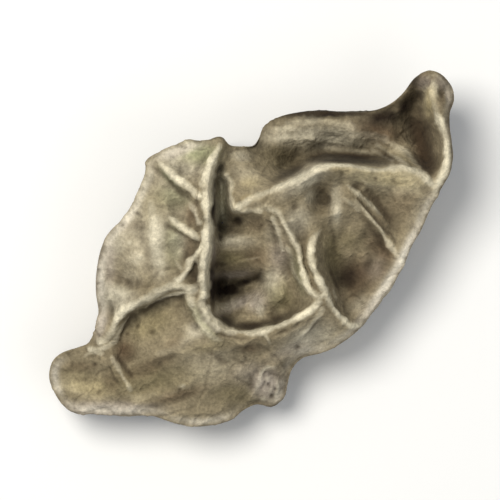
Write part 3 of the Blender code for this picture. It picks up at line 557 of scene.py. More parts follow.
# Fine relief of the felted face. Cords stand on most crests: half width, height, how pale.
cordStyle = {
    "leftLobeWall": (0.44, 0.24, 1.0), "leftLobeBranch": (0.34, 0.16, 0.85),
    "leftLobeHem": (0.42, 0.20, 0.9), "upperVein": (0.34, 0.20, 0.95), "middleVein": (0.28, 0.16, 0.85),
    "pitFront": (0.28, 0.18, 0.8), "pitRight": (0.28, 0.14, 0.7), "hollowLeft": (0.28, 0.18, 0.9),
    "farRidge": (0.30, 0.16, 0.8), "slotLip": (0.26, 0.14, 0.75), "curlRim": (0.28, 0.18, 0.40),
}
fineCords = [  # half width, height, how pale, path
    # left lobe
    (0.30, 0.12, 0.55, [(-5.2, 4.7), (-4.6, 4.0), (-4.1, 3.0), (-3.7, 2.2)]),
    (0.52, 0.16, 0.60, [(-8.3, 4.8), (-8.1, 2.8), (-7.9, 0.8), (-7.6, -1.0), (-7.2, -2.6)]),
    (0.30, 0.10, 0.35, [(-11.2, 1.2), (-10.2, 1.6), (-9.2, 1.8)]),
    (0.26, 0.10, 0.40, [(-10.9, 0.1), (-10.2, 0.6), (-9.5, 0.4)]),
    (0.26, 0.10, 0.40, [(-10.6, -1.3), (-9.9, -0.9), (-9.2, -1.5)]),
    (0.30, 0.10, 0.40, [(-9.6, 5.4), (-8.9, 6.2), (-8.2, 6.6)]),
    (0.22, 0.10, 0.40, [(-6.5, -0.4), (-6.0, -1.2), (-5.4, -1.9)]),
    (0.24, 0.03, 0.80, [(-3.1, 1.2), (-3.2, -0.6), (-3.3, -2.0), (-3.3, -3.4), (-3.3, -4.4)]),
    (0.24, 0.13, 0.70, [(-4.2, -3.9), (-5.2, -3.7), (-6.4, -4.0), (-7.8, -4.7), (-9.2, -5.4)]),
    (0.36, 0.16, 0.80, [(-3.5, -2.6), (-3.7, -3.8), (-3.8, -4.9), (-3.4, -6.0), (-2.8, -6.8), (-1.9, -7.3)]),
    (0.24, 0.12, 0.60, [(-4.4, -0.6), (-4.0, -1.6), (-3.8, -2.6)]),
    (0.30, 0.12, 0.60, [(-5.0, -3.6), (-4.8, -4.4), (-4.5, -5.2)]),
    # round the pit
    (0.28, 0.12, 0.55, [(-4.6, -4.6), (-4.4, -5.6), (-3.8, -6.7), (-2.8, -7.7), (-1.6, -8.3)]),
    (0.20, 0.10, 0.50, [(1.8, -7.3), (2.2, -8.1), (2.5, -8.9)]),
    (0.20, 0.12, 0.60, [(5.4, -2.2), (5.9, -3.2), (6.5, -4.1), (7.2, -4.9)]),
    (0.24, 0.14, 0.80, [(7.4, -4.0), (8.0, -5.1), (8.6, -6.0), (9.4, -6.6), (10.4, -6.8), (11.6, -6.7)]),
    (0.24, 0.14, 0.75, [(4.6, -6.3), (6.0, -5.4), (7.0, -4.3), (7.4, -3.6)]),
    (0.20, 0.12, 0.55, [(2.4, 3.2), (3.0, 2.0), (3.3, 0.9), (3.6, -0.2)]),
    (0.18, 0.10, 0.45, [(3.9, 0.6), (4.3, -0.7), (4.7, -2.0), (5.3, -3.2)]),
    (0.24, 0.10, 0.30, [(-0.9, 3.9), (0.4, 4.4), (1.6, 4.2), (2.6, 3.9), (3.2, 3.2)]),
    (0.24, 0.10, 0.50, [(1.3, -4.3), (1.7, -5.0), (1.6, -5.8)]),
    (0.45, 0.05, 0.30, [(-2.8, 0.9), (-1.6, 1.1), (-0.4, 1.1), (0.8, 1.3)]),
    (0.30, 0.04, 0.15, [(-2.4, 0.0), (-1.0, 0.1), (0.4, 0.1)]),
    (0.30, 0.04, 0.20, [(-0.6, -0.9), (0.8, -0.7), (2.2, -0.4)]),
    (0.50, 0.02, 0.55, [(-1.9, 6.8), (-1.9, 4.8), (-1.9, 3.0)]),
    # painted light: a flat pale strip over the wall's cast shadow in the pit
    (0.50, 0.02, 0.50, [(-2.7, -5.4), (-1.8, -5.3), (-0.9, -5.0), (0.0, -4.6)]),
    (0.50, 0.03, 0.35, [(4.4, 6.0), (5.6, 6.6), (6.8, 7.0)]),
    (0.90, 0.03, 0.42, [(-13.0, -4.1), (-11.8, -4.2), (-10.8, -4.4)]),
    # right shoulder
    (0.24, 0.12, 0.62, [(9.0, 6.2), (9.8, 5.5), (10.9, 4.6), (11.9, 3.8), (12.7, 2.9)]),
    (0.24, 0.12, 0.55, [(9.8, 4.7), (11.0, 3.5), (12.1, 2.2), (13.1, 0.9), (14.1, -0.6), (14.8, -1.8)]),
    (0.18, 0.08, 0.40, [(8.9, 4.9), (9.8, 4.2), (10.6, 3.4)]),
    (0.46, 0.08, 0.40, [(8.1, 6.2), (8.3, 4.9), (8.4, 3.4), (8.7, 2.2)]),
    (0.18, 0.09, 0.40, [(10.4, 6.6), (11.2, 6.0), (12.2, 5.4)]),
    (0.24, 0.08, 0.30, [(11.6, 9.4), (12.8, 8.8), (13.8, 8.0)]),
    (0.24, 0.09, 0.35, [(12.0, 9.9), (13.2, 9.1), (14.3, 8.2), (15.4, 7.2)]),
    (0.24, 0.09, 0.30, [(12.9, 10.2), (14.1, 9.5), (15.2, 8.5), (16.2, 7.2)]),
    (0.20, 0.09, 0.45, [(7.9, -3.1), (8.2, -3.9), (8.5, -4.7)]),
    (0.24, 0.10, 0.50, [(7.2, -4.9), (6.8, -5.8), (6.0, -6.9), (5.1, -7.8), (4.2, -8.4)]),
    # flap and curl
    (0.50, 0.05, 0.30, [(3.6, 11.5), (5.2, 11.8), (7.0, 11.9), (8.8, 11.6), (10.4, 11.1)]),
    (0.34, 0.06, 0.35, [(1.9, 10.9), (3.6, 11.1), (5.4, 11.0)]),
    (0.40, 0.04, 0.25, [(6.2, 11.1), (8.0, 10.9), (9.8, 10.7), (11.8, 10.5), (13.4, 9.9)]),
    (0.30, 0.05, 0.25, [(2.0, 10.0), (4.0, 10.3), (6.4, 10.2), (9.2, 9.9), (11.4, 9.8)]),
    (0.26, 0.05, 0.25, [(6.4, 9.5), (8.4, 9.4), (10.4, 9.2), (12.2, 8.8)]),
    (0.50, 0.24, 0.00, [(17.9, 15.4), (18.0, 14.2), (18.1, 13.0)]),
    (0.30, 0.04, 0.95, [(17.3, 12.6), (17.9, 11.4), (18.3, 10.0), (18.4, 8.6), (18.1, 7.2), (17.5, 5.8)]),
    (0.22, 0.12, 0.30, [(16.4, 15.5), (17.1, 15.9), (17.9, 15.6), (18.4, 14.9), (18.7, 14.0), (18.4, 13.2)]),
    (0.36, 0.05, 0.12, [(16.6, 15.2), (16.6, 13.8), (16.8, 12.6)]),
    # lower lobe
    (0.60, 0.08, 0.16, [(-8.8, -9.7), (-7.2, -9.3), (-5.6, -8.4), (-4.2, -7.2)]),
    (0.26, 0.10, 0.28, [(-12.1, -9.4), (-11.8, -10.2), (-11.1, -11.2), (-10.6, -12.0), (-10.2, -13.0)]),
    (0.26, 0.12, 0.60, [(-10.2, -5.9), (-11.4, -7.2), (-12.0, -8.3), (-13.0, -8.9), (-14.4, -9.0)]),
    (0.22, 0.08, 0.22, [(-6.1, -12.7), (-5.7, -12.2), (-5.1, -12.4)]),
    (0.22, 0.10, 0.50, [(-12.6, -9.5), (-13.8, -9.3), (-14.8, -9.9)]),
    (0.50, 0.06, 0.12, [(-16.4, -12.6), (-13.6, -13.4), (-10.4, -13.4), (-7.6, -13.0)]),
    (0.34, 0.05, 0.12, [(-8.6, -13.6), (-6.6, -13.0), (-4.6, -12.4)]),
    # the torn scar
    (0.26, 0.10, 0.45, [(1.1, -13.0), (1.3, -12.0), (1.7, -11.1), (2.5, -10.6), (3.4, -10.7)]),
    (0.18, 0.10, 0.50, [(2.6, -11.3), (3.1, -11.8), (3.1, -12.7), (2.7, -13.8)]),
    (0.18, 0.10, 0.50, [(0.0, -12.9), (0.8, -13.2), (1.5, -13.9)]),
    (0.16, 0.08, 0.40, [(0.2, -10.4), (1.1, -10.2), (1.8, -9.8)]),
]
fineGrooves = [  # half width, depth, path
    # left lobe
    (0.36, 0.20, [(-8.4, 7.9), (-7.4, 6.9), (-6.2, 5.7), (-5.2, 4.9), (-4.4, 4.3)]),
    (0.26, 0.14, [(-7.4, 2.7), (-6.3, 2.0), (-5.2, 1.2), (-4.3, 0.6)]),
    (0.20, 0.12, [(-4.1, 6.0), (-4.2, 4.6), (-4.1, 3.4)]),
    (0.24, 0.14, [(-4.6, 3.6), (-4.9, 2.6), (-4.6, 2.0)]),
    (0.28, 0.14, [(-5.0, 0.6), (-5.2, -0.6), (-5.8, -1.6)]),
    (0.22, 0.05, [(-4.4, -1.2), (-4.4, -2.4), (-4.1, -3.2)]),
    (0.50, 0.08, [(-12.8, -2.2), (-11.2, -2.6), (-9.6, -3.2), (-8.0, -3.4)]),
    (0.26, 0.16, [(-5.6, -4.2), (-6.8, -4.4), (-8.2, -5.1), (-9.6, -5.9), (-10.7, -6.9), (-11.3, -8.2)]),
    # round the pit
    (0.30, 0.16, [(-1.9, -6.2), (-0.7, -6.8), (0.8, -6.9), (2.3, -6.4), (3.8, -5.7)]),
    (0.24, 0.12, [(-4.0, -4.4), (-3.9, -5.4), (-3.2, -6.5), (-2.2, -7.4), (-0.6, -7.9), (1.0, -7.9)]),
    (0.20, 0.12, [(2.2, -7.9), (3.4, -7.4), (4.6, -6.9), (5.8, -6.1)]),
    (0.34, 0.04, [(-2.6, 0.4), (-1.0, 0.5), (0.4, 0.4)]),
    (0.34, 0.04, [(-1.4, -0.4), (0.2, -0.3), (2.0, 0.1)]),
    (0.40, 0.05, [(-2.6, -1.3), (-1.0, -1.4), (0.6, -1.3), (2.0, -1.0)]),
    (0.20, 0.12, [(2.0, 3.0), (2.6, 1.8), (2.9, 0.6), (3.1, -0.6)]),
    (0.18, 0.12, [(6.9, -5.9), (6.4, -7.0), (5.7, -7.9)]),
    # right shoulder
    (0.20, 0.16, [(9.8, 5.0), (10.9, 4.1), (12.0, 3.0), (13.0, 1.9), (13.9, 0.5)]),
    (0.18, 0.10, [(11.1, 5.4), (12.1, 4.4), (13.0, 3.2), (13.6, 2.0)]),
    (0.26, 0.12, [(10.2, 3.5), (11.4, 2.1), (12.5, 0.6), (13.4, -0.8)]),
    (0.20, 0.08, [(10.6, 5.6), (11.8, 4.8), (12.8, 3.9)]),
    (0.18, 0.10, [(7.7, -1.0), (8.3, -2.6), (8.9, -4.2)]),
    (0.20, 0.10, [(12.1, 9.3), (13.2, 8.6), (14.2, 7.8)]),
    # flap and curl
    (0.26, 0.06, [(2.0, 11.4), (3.8, 11.5), (5.4, 11.4)]),
    (0.42, 0.05, [(1.9, 10.5), (4.0, 10.7), (6.2, 10.6), (8.6, 10.4), (11.0, 10.2), (13.0, 9.6)]),
    (0.30, 0.05, [(2.4, 9.6), (4.6, 9.9), (7.0, 9.8), (9.6, 9.6), (11.8, 9.3), (13.2, 8.8)]),
    (0.36, 0.07, [(6.4, 9.0), (8.0, 9.1), (9.6, 9.0), (11.2, 8.7), (12.4, 8.3)]),
    (0.30, 0.02, [(17.6, 15.3), (17.8, 14.3), (17.9, 13.4), (17.9, 12.6)]),
    # lower lobe
    (0.20, 0.14, [(-12.5, -9.8), (-12.3, -10.6), (-11.8, -11.7), (-11.1, -12.7)]),
    (0.24, 0.14, [(-11.5, -9.2), (-10.8, -10.5), (-9.9, -11.9)]),
    (0.46, 0.08, [(-9.4, -10.4), (-7.4, -9.9), (-5.4, -9.0)]),
    (0.34, 0.07, [(-8.9, -14.3), (-7.4, -13.9), (-5.6, -13.4), (-3.6, -12.9)]),
    (0.40, 0.10, [(-16.0, -11.6), (-14.4, -11.8), (-12.9, -12.0)]),
    (0.30, 0.10, [(-3.4, -9.0), (-2.2, -10.0), (-1.0, -10.2)]),
    # the torn scar
    (0.18, 0.09, [(1.9, -12.8), (1.9, -11.8), (2.5, -11.1)]),
    (0.24, 0.08, [(0.5, -10.9), (0.8, -12.0), (0.6, -13.2)]),
    (0.16, 0.10, [(-1.2, -9.8), (-0.4, -10.2), (0.6, -10.9)]),
]
# small pits, and warts where the depth is below nothing: x, y, reach, depth
smallPits = [
    (2.3, -12.3, 0.22, 0.16), (2.6, -13.4, 0.26, 0.16), (2.95, -12.7, 0.20, 0.14),
    (2.15, -11.7, 0.28, -0.13), (2.45, -12.8, 0.20, -0.12), (1.8, -13.6, 0.30, -0.10),
    (3.1, -12.1, 0.20, -0.08), (-5.5, -12.3, 0.26, -0.05), (-5.8, -12.7, 0.20, 0.12),
    (8.8, 6.9, 0.26, 0.14), (-0.6, 2.7, 0.34, 0.20), (11.2, 5.4, 0.20, 0.10), (12.2, 4.7, 0.18, 0.10),
    (11.9, 6.4, 0.18, 0.10), (-10.6, -7.6, 0.28, 0.12), (-9.6, -6.9, 0.24, 0.10), (-9.7, 3.4, 0.24, 0.10),
    (-10.9, 2.3, 0.24, 0.10), (-13.6, -10.4, 0.26, 0.10), (-8.3, -7.4, 0.24, 0.08),
    (7.5, 4.5, 0.40, 0.18), (6.2, 4.9, 0.60, -0.14), (-9.3, -0.6, 0.34, -0.10), (-10.2, 0.7, 0.30, -0.08),
    (4.6, 3.9, 0.24, 0.08), (-13.2, -12.9, 0.24, 0.08), (5.0, -8.9, 0.26, 0.09),
]
# folds that run one way: x, y, reach, direction in degrees, width of a fold, height
foldFields = [
    (6.5, 10.6, 4.0, 2.0, 1.0, 0.07), (13.0, 10.8, 3.0, 160.0, 1.0, 0.10),
    (-8.0, 1.0, 4.0, 105.0, 1.3, 0.12), (-0.6, 0.0, 2.0, -6.0, 0.9, 0.08),
    (-8.0, -11.6, 5.0, 20.0, 1.8, 0.16), (3.0, -9.8, 4.0, 25.0, 1.4, 0.14),
    (10.0, -1.0, 4.0, 60.0, 1.4, 0.14), (13.6, 3.6, 3.0, 125.0, 1.3, 0.12),
    (1.0, 7.0, 3.0, 150.0, 1.0, 0.12), (-7.0, -6.6, 3.0, 30.0, 1.3, 0.14),
    (-14.5, -12.0, 3.0, 10.0, 1.6, 0.14), (-1.0, -12.6, 3.0, 35.0, 1.3, 0.14),
]
# where a deep place gets less painted shade: x, y, half length, half width, direction in degrees, share
bareHollows = [
    (-2.0, 5.0, 2.8, 0.9, 90, 0.85), (7.0, 4.7, 1.3, 1.2, 0, 0.7), (-1.2, 0.6, 1.8, 0.8, 0, 0.5),
    (1.4, -4.9, 1.6, 0.8, 25, 0.6), (7.0, 10.2, 5.0, 1.2, 0, 0.5), (17.9, 14.2, 0.7, 1.2, 0, 0.8),
    (-1.6, -5.3, 1.2, 0.6, 10, 0.8), (6.0, -2.0, 1.8, 0.4, -72, 0.6),
]
# tints of the felt, each a soft oval: x, y, half length, half width, direction in degrees, strength
tints = {
    # the felt's paler tone, and painted light where the lamps leave shade: in the slot, on the flap and at
    # the dimple's left
    "pale": [
        (-8.6, 3.0, 6.0, 3.2, 66, 0.45), (-7.8, 1.4, 3.6, 1.0, 93, 0.90), (-5.6, 7.8, 2.4, 1.2, -25, 0.8),
        (-11.8, -4.2, 1.9, 1.3, 0, 1.1), (-11.4, 0.8, 1.6, 1.3, 50, 0.7), (-9.3, 5.5, 2.4, 0.9, 60, 0.7),
        (-9.6, -0.6, 1.2, 1.0, -40, 0.5), (0.2, 6.6, 1.9, 1.0, -40, 0.30), (-0.2, 8.6, 0.9, 0.6, 0, 0.6),
        (5.6, 6.5, 2.4, 0.9, 30, 1.0), (13.4, 6.5, 3.6, 1.0, -6, 0.9), (15.9, 4.0, 2.0, 0.5, 62, 0.2),
        (2.8, -2.8, 1.2, 1.1, 0, 0.85), (-4.3, -7.2, 0.9, 0.7, 0, 0.7), (-3.2, -10.4, 2.6, 1.8, 0, 0.30),
        (16.7, 13.6, 1.4, 0.30, 92, 0.45), (-0.8, 0.8, 1.9, 0.6, 0, 0.5), (6.0, -7.9, 2.2, 1.1, 22, 1.05),
        (8.3, 4.2, 1.9, 0.6, 86, 0.6), (6.2, 11.5, 2.8, 0.4, 0, 0.30), (4.9, 2.6, 1.0, 1.4, -20, 0.85),
        (2.8, 1.6, 0.8, 1.2, -15, 0.35), (14.6, 8.6, 1.4, 0.6, -40, 0.5), (-2.0, 4.8, 0.6, 2.8, 0, 1.0),
        (-4.4, -7.6, 1.2, 0.5, 28, 0.25), (-6.0, 0.6, 0.9, 1.2, 0, 0.9), (-10.4, -2.6, 1.4, 1.0, 0, 0.5),
        (-15.4, -12.2, 1.8, 0.7, 0, 0.35), (7.0, 10.4, 4.8, 1.0, 0, 1.1), (6.2, 4.8, 0.7, 0.9, 0, 0.5),
        (1.5, -5.3, 0.4, 0.7, 20, 0.9), (10.6, -4.8, 1.0, 0.6, 50, 0.5)],
    "green": [
        (-4.1, 8.8, 1.8, 1.0, -5, 1.0), (-6.4, 4.8, 1.6, 1.0, -10, 0.6), (-6.3, 0.6, 0.9, 2.0, 0, 0.5),
        (-6.5, 6.2, 1.6, 0.35, -48, 0.9), (-2.0, 4.4, 0.5, 2.6, 0, 0.5), (5.0, -2.0, 0.5, 2.0, 15, 0.5),
        (-3.6, -6.4, 1.9, 0.5, -55, 0.8), (3.2, -4.0, 1.0, 1.0, 0, 0.4)],
    "olive": [
        (7.0, 10.2, 5.6, 1.4, 0, 0.15), (3.4, 8.6, 1.7, 1.2, 0, 0.5), (8.2, -0.6, 1.0, 2.6, 12, 0.9),
        (-8.4, -6.6, 2.6, 1.3, 30, 0.7), (-8.6, -11.8, 4.6, 1.5, 8, 0.7), (-1.0, -0.8, 1.8, 0.8, 0, 0.8),
        (3.8, -4.8, 1.2, 0.8, 0, 0.6), (-15.2, -11.3, 1.6, 1.0, 0, 0.3), (-0.4, -13.2, 2.6, 1.0, 0, 0.6),
        (-9.8, -3.0, 3.0, 0.9, -10, 0.25), (9.4, 1.0, 1.4, 1.0, 0, 0.5), (-2.0, -6.0, 0.8, 0.5, -40, 0.7)],
    "straw": [
        (13.2, 6.5, 3.8, 0.9, -6, 0.8), (9.6, 7.0, 2.0, 0.5, -10, 0.4), (-14.6, -12.3, 2.2, 0.9, -4, 0.6),
        (16.8, 13.6, 0.4, 1.6, 0, 0.8), (0.6, 6.0, 1.0, 0.6, 0, 0.5), (0.6, 4.7, 0.9, 0.3, 0, 0.6),
        (14.6, 8.3, 1.3, 0.4, -35, 0.5), (3.6, -3.4, 0.9, 1.0, 0, 0.4), (-8.0, 4.0, 1.2, 1.6, 0, 0.3),
        (-3.0, -8.8, 1.8, 0.5, 10, 0.4)],
    # the felt's brown tone, and painted shade in the curl's inside and at the hem's foot
    "brownAndPaintedShade": [
        (10.6, -2.4, 2.0, 1.5, 60, 1.0), (13.5, 3.4, 1.2, 2.0, -30, 0.35), (16.4, 9.4, 3.0, 0.9, 98, 1.0),
        (-4.6, 3.2, 0.7, 1.2, 0, 0.65), (-5.0, 0.2, 0.6, 1.1, 0, 0.65),
        (-10.2, -2.8, 2.2, 0.6, -14, 0.25), (1.4, -0.6, 1.2, 1.0, -5, 0.6),
        (12.5, 0.0, 1.0, 1.8, 40, 0.8), (-10.9, -9.2, 1.0, 1.2, 0, 0.9), (12.4, 10.9, 2.4, 1.0, -12, 1.0),
        (14.4, 4.0, 1.3, 1.6, -30, 0.35), (12.4, -1.6, 1.0, 1.4, -20, 0.6),
        (17.75, 14.0, 0.28, 1.2, 2, 0.6), (16.3, 15.4, 0.8, 0.6, 30, 0.7), (6.9, 4.6, 1.2, 1.1, 0, 0.15),
        (-9.6, 2.4, 0.7, 0.5, 0, 0.3), (-8.8, -10.7, 2.4, 0.7, 20, 0.6), (-6.0, -13.2, 2.6, 0.6, 15, 0.6),
        (1.2, 2.4, 0.9, 0.7, 0, 0.5), (0.6, -8.9, 1.0, 0.5, 0, 0.7), (0.6, 4.6, 1.0, 0.35, 6, 0.5),
        (-6.2, -8.4, 1.0, 0.5, 20, 0.35), (-12.1, -12.0, 0.6, 1.0, 30, 0.5),
        (-14.9, -10.6, 1.4, 0.5, 0, 0.4)],
    # painted shade: in the pit, the curl's inside, the hollow floors, the ridge's foot, beside the wall and
    # along the flap's far edge
    "dark": [
        (-2.2, -3.8, 0.9, 0.7, 20, 1.0), (-0.1, -3.0, 1.9, 0.40, 24, 1.0),
        (-1.3, -3.6, 1.2, 0.65, 18, 1.2), (-2.35, -3.7, 0.6, 1.2, 0, 0.9), (9.5, -2.4, 1.3, 1.2, 0, 1.0),
        (16.8, 9.2, 0.6, 2.4, 8, 0.5), (7.4, 13.0, 8.0, 0.6, 0, 1.0), (12.9, 12.2, 2.6, 1.0, 8, 1.0),
        (14.7, 13.2, 1.7, 0.9, 52, 1.0), (15.4, 15.4, 1.0, 0.7, 50, 0.9), (15.5, 11.6, 0.8, 1.4, 20, 0.7),
        (9.4, 8.6, 4.6, 0.50, -2, 0.85), (4.0, 7.0, 1.6, 0.4, 25, 0.7), (7.4, 4.5, 0.40, 0.50, 0, 0.45),
        (7.4, 12.6, 5.0, 0.5, 0, 1.0), (-2.0, 2.0, 0.5, 0.4, 0, 0.6), (-0.5, 2.7, 0.4, 0.35, 0, 0.6),
        (-1.5, -6.4, 0.9, 0.34, -35, 0.9), (0.7, -6.8, 1.4, 0.35, 4, 0.8), (3.2, -6.2, 1.4, 0.3, 28, 0.6),
        (1.6, 11.6, 0.6, 1.0, 0, 0.7), (9.4, 8.2, 4.4, 0.42, -2, 0.95),
        (-4.3, -2.3, 0.35, 0.7, 0, 0.7), (1.2, 9.8, 0.8, 0.5, 0, 0.6), (-2.8, -3.1, 0.32, 1.8, 0, 1.4),
        (-2.75, 4.6, 0.26, 3.2, 0, 1.1), (-2.75, 0.2, 0.22, 1.6, 0, 0.5), (10.8, -3.4, 0.8, 0.6, 40, 0.5)],
    "grey": [
        (3.3, -0.6, 0.9, 1.5, 10, 0.7), (-13.0, -14.6, 4.6, 0.6, 0, 0.8), (2.4, -12.3, 1.6, 1.7, 0, 0.7),
        (-2.7, -0.4, 0.3, 1.2, 0, 0.5), (-0.8, -2.3, 1.8, 0.35, 8, 0.8), (-13.3, -1.6, 0.6, 3.0, 0, 0.7),
        (17.9, 15.2, 0.9, 0.7, 0, 0.6), (16.5, 15.2, 0.7, 0.6, 0, 0.8), (-10.9, 2.0, 1.0, 0.7, 0, 0.3),
        (12.0, -1.6, 1.0, 1.2, 0, 0.4)],
    "ash": [
        (-0.6, -4.9, 2.0, 0.50, 24, 1.0), (-12.9, -6.6, 0.5, 1.4, -10, 0.9),
        (1.2, -4.6, 1.0, 0.8, 40, 0.8), (-12.2, -1.0, 0.6, 2.4, 0, 0.6), (-5.6, 9.0, 1.6, 0.5, 20, 0.7),
        (1.9, -12.2, 1.2, 1.2, 0, 0.7), (-1.0, -2.2, 1.5, 0.35, 4, 0.6), (18.6, 13.9, 0.35, 1.0, 0, 0.8),
        (-12.0, -14.2, 4.0, 0.5, -2, 0.5), (11.8, -5.0, 1.4, 0.6, 50, 0.5),
        (4.6, -9.0, 2.0, 0.7, 20, 0.4), (0.6, -11.2, 1.6, 1.0, 0, 0.4)],
    # where the rim along the margin is pale
    "edge": [
        (13.6, -2.0, 8.6, 2.2, 56, 1.0), (-13.4, -2.6, 1.6, 3.4, 0, 1.0), (-10.8, 3.6, 4.4, 1.4, 60, 0.9),
        (-12.6, -14.8, 5.0, 1.4, 0, 0.8), (-3.4, -15.8, 4.0, 1.2, 4, 0.6), (-6.0, 9.4, 2.6, 1.0, 18, 0.6),
        (18.8, 9.6, 0.9, 3.6, 0, 0.5), (5.6, -9.8, 2.6, 1.2, 20, 0.6), (-17.4, -11.6, 1.2, 2.0, 0, 0.8),
        (3.6, -13.2, 1.2, 1.6, 0, 0.5), (18.9, 14.4, 0.8, 1.4, 0, 0.5)],
}

strokeForm = {
    "step": 0.35,               # spacing of the points along a cord or groove
    "endStep": 0.30,            # and of those that tell whether two cords meet
    "reach": 4.0,               # nothing farther off than this many half widths is changed
    "grooveSeed": 80,
    "strays": (0.10, 3.6, 60),  # how far it strays to the side, over how many points, seed
    "swells": ((0.35, 1.4, 0), (0.15, 0.5, 20)),    # uneven height: share, length, seed
    "evenShade": (0.5, 1.2),    # how uneven its shade may be
    "widens": (0.35, 1.1, 40),  # uneven width
    "frays": (0.30, 0.42, 7),   # frayed edge: share of the width, length, number of patterns
    "core": 1.15,               # the raised part, and the thin hollow beside it, in half widths
    "moatPlace": 2.1,
    "moatWidth": 0.8,
    "moatDepth": 0.20,
    # painted shade that the mask gives the thin hollow beside a cord
    "moatShade": 0.45,
    "thinEnd": 0.5,
    "meets": 0.7,               # a cord's end nearer than this to another cord meets it
    "joinedEnd": 0.4,           # length of the taper there
    "freeEnd": 1.8,             # and at a free end
    "grooveEnds": (1.5, 1.5),
}


def lineDistance(places, line):  # how far each place is from a line, and where along it
    nearest = np.full(len(places), np.inf)
    along = np.zeros(len(places))
    done = 0.0
    for a, b in zip(line, line[1:]):
        step = b - a
        length = np.linalg.norm(step)
        share = np.clip(((places - a) @ step) / length ** 2, 0.0, 1.0)
        gap = np.linalg.norm(places - a - share[:, None] * step, axis=1)
        nearer = gap < nearest
        nearest[nearer] = gap[nearer]
        along[nearer] = done + share[nearer] * length
        done += length
    return nearest, along, done


def softNoise(u, v, seed):  # smooth noise from -1 to 1, one bump a unit
    period = 64
    table = np.random.RandomState(seed).uniform(-1.0, 1.0, (period, period))
    i = np.floor(u).astype(int)
    j = np.floor(v).astype(int)
    fu = (u - i) ** 2 * (3.0 - 2.0 * (u - i))
    fv = (v - j) ** 2 * (3.0 - 2.0 * (v - j))
    i, j, nextI, nextJ = i % period, j % period, (i + 1) % period, (j + 1) % period
    near = table[i, j] * (1 - fu) + table[nextI, j] * fu
    far = table[i, nextJ] * (1 - fu) + table[nextI, nextJ] * fu
    return near * (1 - fv) + far * fv


def lineNoise(along, size, seed, shift):  # smooth noise along a line, another for each seed
    return softNoise(along / size, np.full(len(along), float(seed)), seed + shift)


def endTapers(paths):  # how long each cord's two ends taper: short where it meets another
    lines = [steppedLine(np.array(path)[:, :2], strokeForm["endStep"], 4) for path in paths]
    tapers = []
    for i, line in enumerate(lines):
        others = np.vstack(lines[:i] + lines[i + 1:])
        gaps = [np.linalg.norm(others - end, axis=1).min() for end in (line[0], line[-1])]
        tapers.append([strokeForm["joinedEnd" if gap < strokeForm["meets"] else "freeEnd"] for gap in gaps])
    return tapers


def stroke(places, path, width, height, seed, tapers):  # one cord or groove: its relief and its mask
    form = strokeForm
    path = np.array(path)[:, :2]
    low = path.min(axis=0) - form["reach"] * width
    high = path.max(axis=0) + form["reach"] * width
    near = np.flatnonzero(((places > low) & (places < high)).all(axis=1))
    line = steppedLine(path, form["step"], 6)
    ahead = np.gradient(line, axis=0)
    side = np.stack([-ahead[:, 1], ahead[:, 0]], axis=1) / np.linalg.norm(ahead, axis=1, keepdims=True)
    share, size, shift = form["strays"]
    line = line + share * side * lineNoise(np.arange(len(line)), size, seed, shift)[:, None]
    gap, along, length = lineDistance(places[near], line)
    ends = np.clip(along / tapers[0], 0.0, 1.0) * np.clip((length - along) / tapers[1], 0.0, 1.0)
    ends = ends * (2.0 - ends)
    uneven = 1.0 + sum(share * lineNoise(along, size, seed, shift) for share, size, shift in form["swells"])
    share, size, shift = form["widens"]
    thin = form["thinEnd"] + (1.0 - form["thinEnd"]) * ends
    wide = width * (1.0 + share * lineNoise(along, size, seed, shift)) * thin
    share, size, patterns = form["frays"]
    gap = np.abs(gap + share * wide * softNoise(*(places[near] / size).T, seed % patterns))
    core = np.exp(-(gap / (form["core"] * wide)) ** 2)
    moat = np.exp(-((gap - form["moatPlace"] * wide) / (form["moatWidth"] * wide)) ** 2)
    relief = np.zeros(len(places))
    mask = np.zeros(len(places))
    relief[near] = height * ends * uneven * (core - form["moatDepth"] * moat)
    # the mask: the cord's pale core, with painted shade in the thin hollow beside it
    shade = np.exp(-(gap / wide) ** 2) - form["moatShade"] * moat
    mask[near] = ends * np.clip(uneven, *form["evenShade"]) * shade
    return relief, mask


def tintMask(places, ovals):  # how strong a tint is at each place
    firmness = 1.3
    total = np.zeros(len(places))
    for x, y, length, width, degrees, strength in ovals:
        u, v = alongAndAcross(places, x, y, degrees)
        total = np.maximum(total, strength * np.exp(-((u / length) ** 2 + (v / width) ** 2) ** firmness))
    return total


def roundMask(places, x, y, reach):
    return np.exp(-((places[:, 0] - x) ** 2 + (places[:, 1] - y) ** 2) / reach ** 2)


def wrinkleNet(places, size, seed):  # thin crooked lines that meet, from 0 to 1
    crooked, bendSize, lineWidth = 0.7, 1.7, 0.24
    u, v = (places / size).T
    bendU = crooked * softNoise(u / bendSize, v / bendSize, seed)
    bendV = crooked * softNoise(u / bendSize, v / bendSize, seed + 1)
    level = softNoise(u + bendU, v + bendV, seed + 2)
    return np.clip(1.0 - np.abs(level) / lineWidth, 0.0, 1.0) ** 2


feltRelief = {
    "darkGroove": 0.13,         # a groove this deep gets full painted shade
    "paleWart": 0.4,
    "foldBend": (0.5, 3.0, 120),    # how far the fields' folds bend, over what length, seed
    "foldForm": (4.0, 0.5, 140),    # their length and half width to the field's width, seed
    "nets": ((1.7, 0.08, 200), (0.9, 0.05, 210)),   # raised wrinkles: size, height, seed
    "creaseNet": (2.4, 0.08, 220),                  # sunk ones
    "creaseShade": 0.35,
    "lumps": ((2.4, 0.10, 90), (1.3, 0.08, 91), (0.7, 0.06, 92), (0.4, 0.035, 93)),
    "plainCords": 0.6,          # share of all these that a cord hides
    "steadiness": (1.6, 0.25),  # how relief fades on steep walls, and what is left of it
    "mostSunk": 0.20,           # nothing cuts deeper than this
    "riseRange": 0.5,           # painted light and shade: the fold height that the lightest and darkest stand for
}


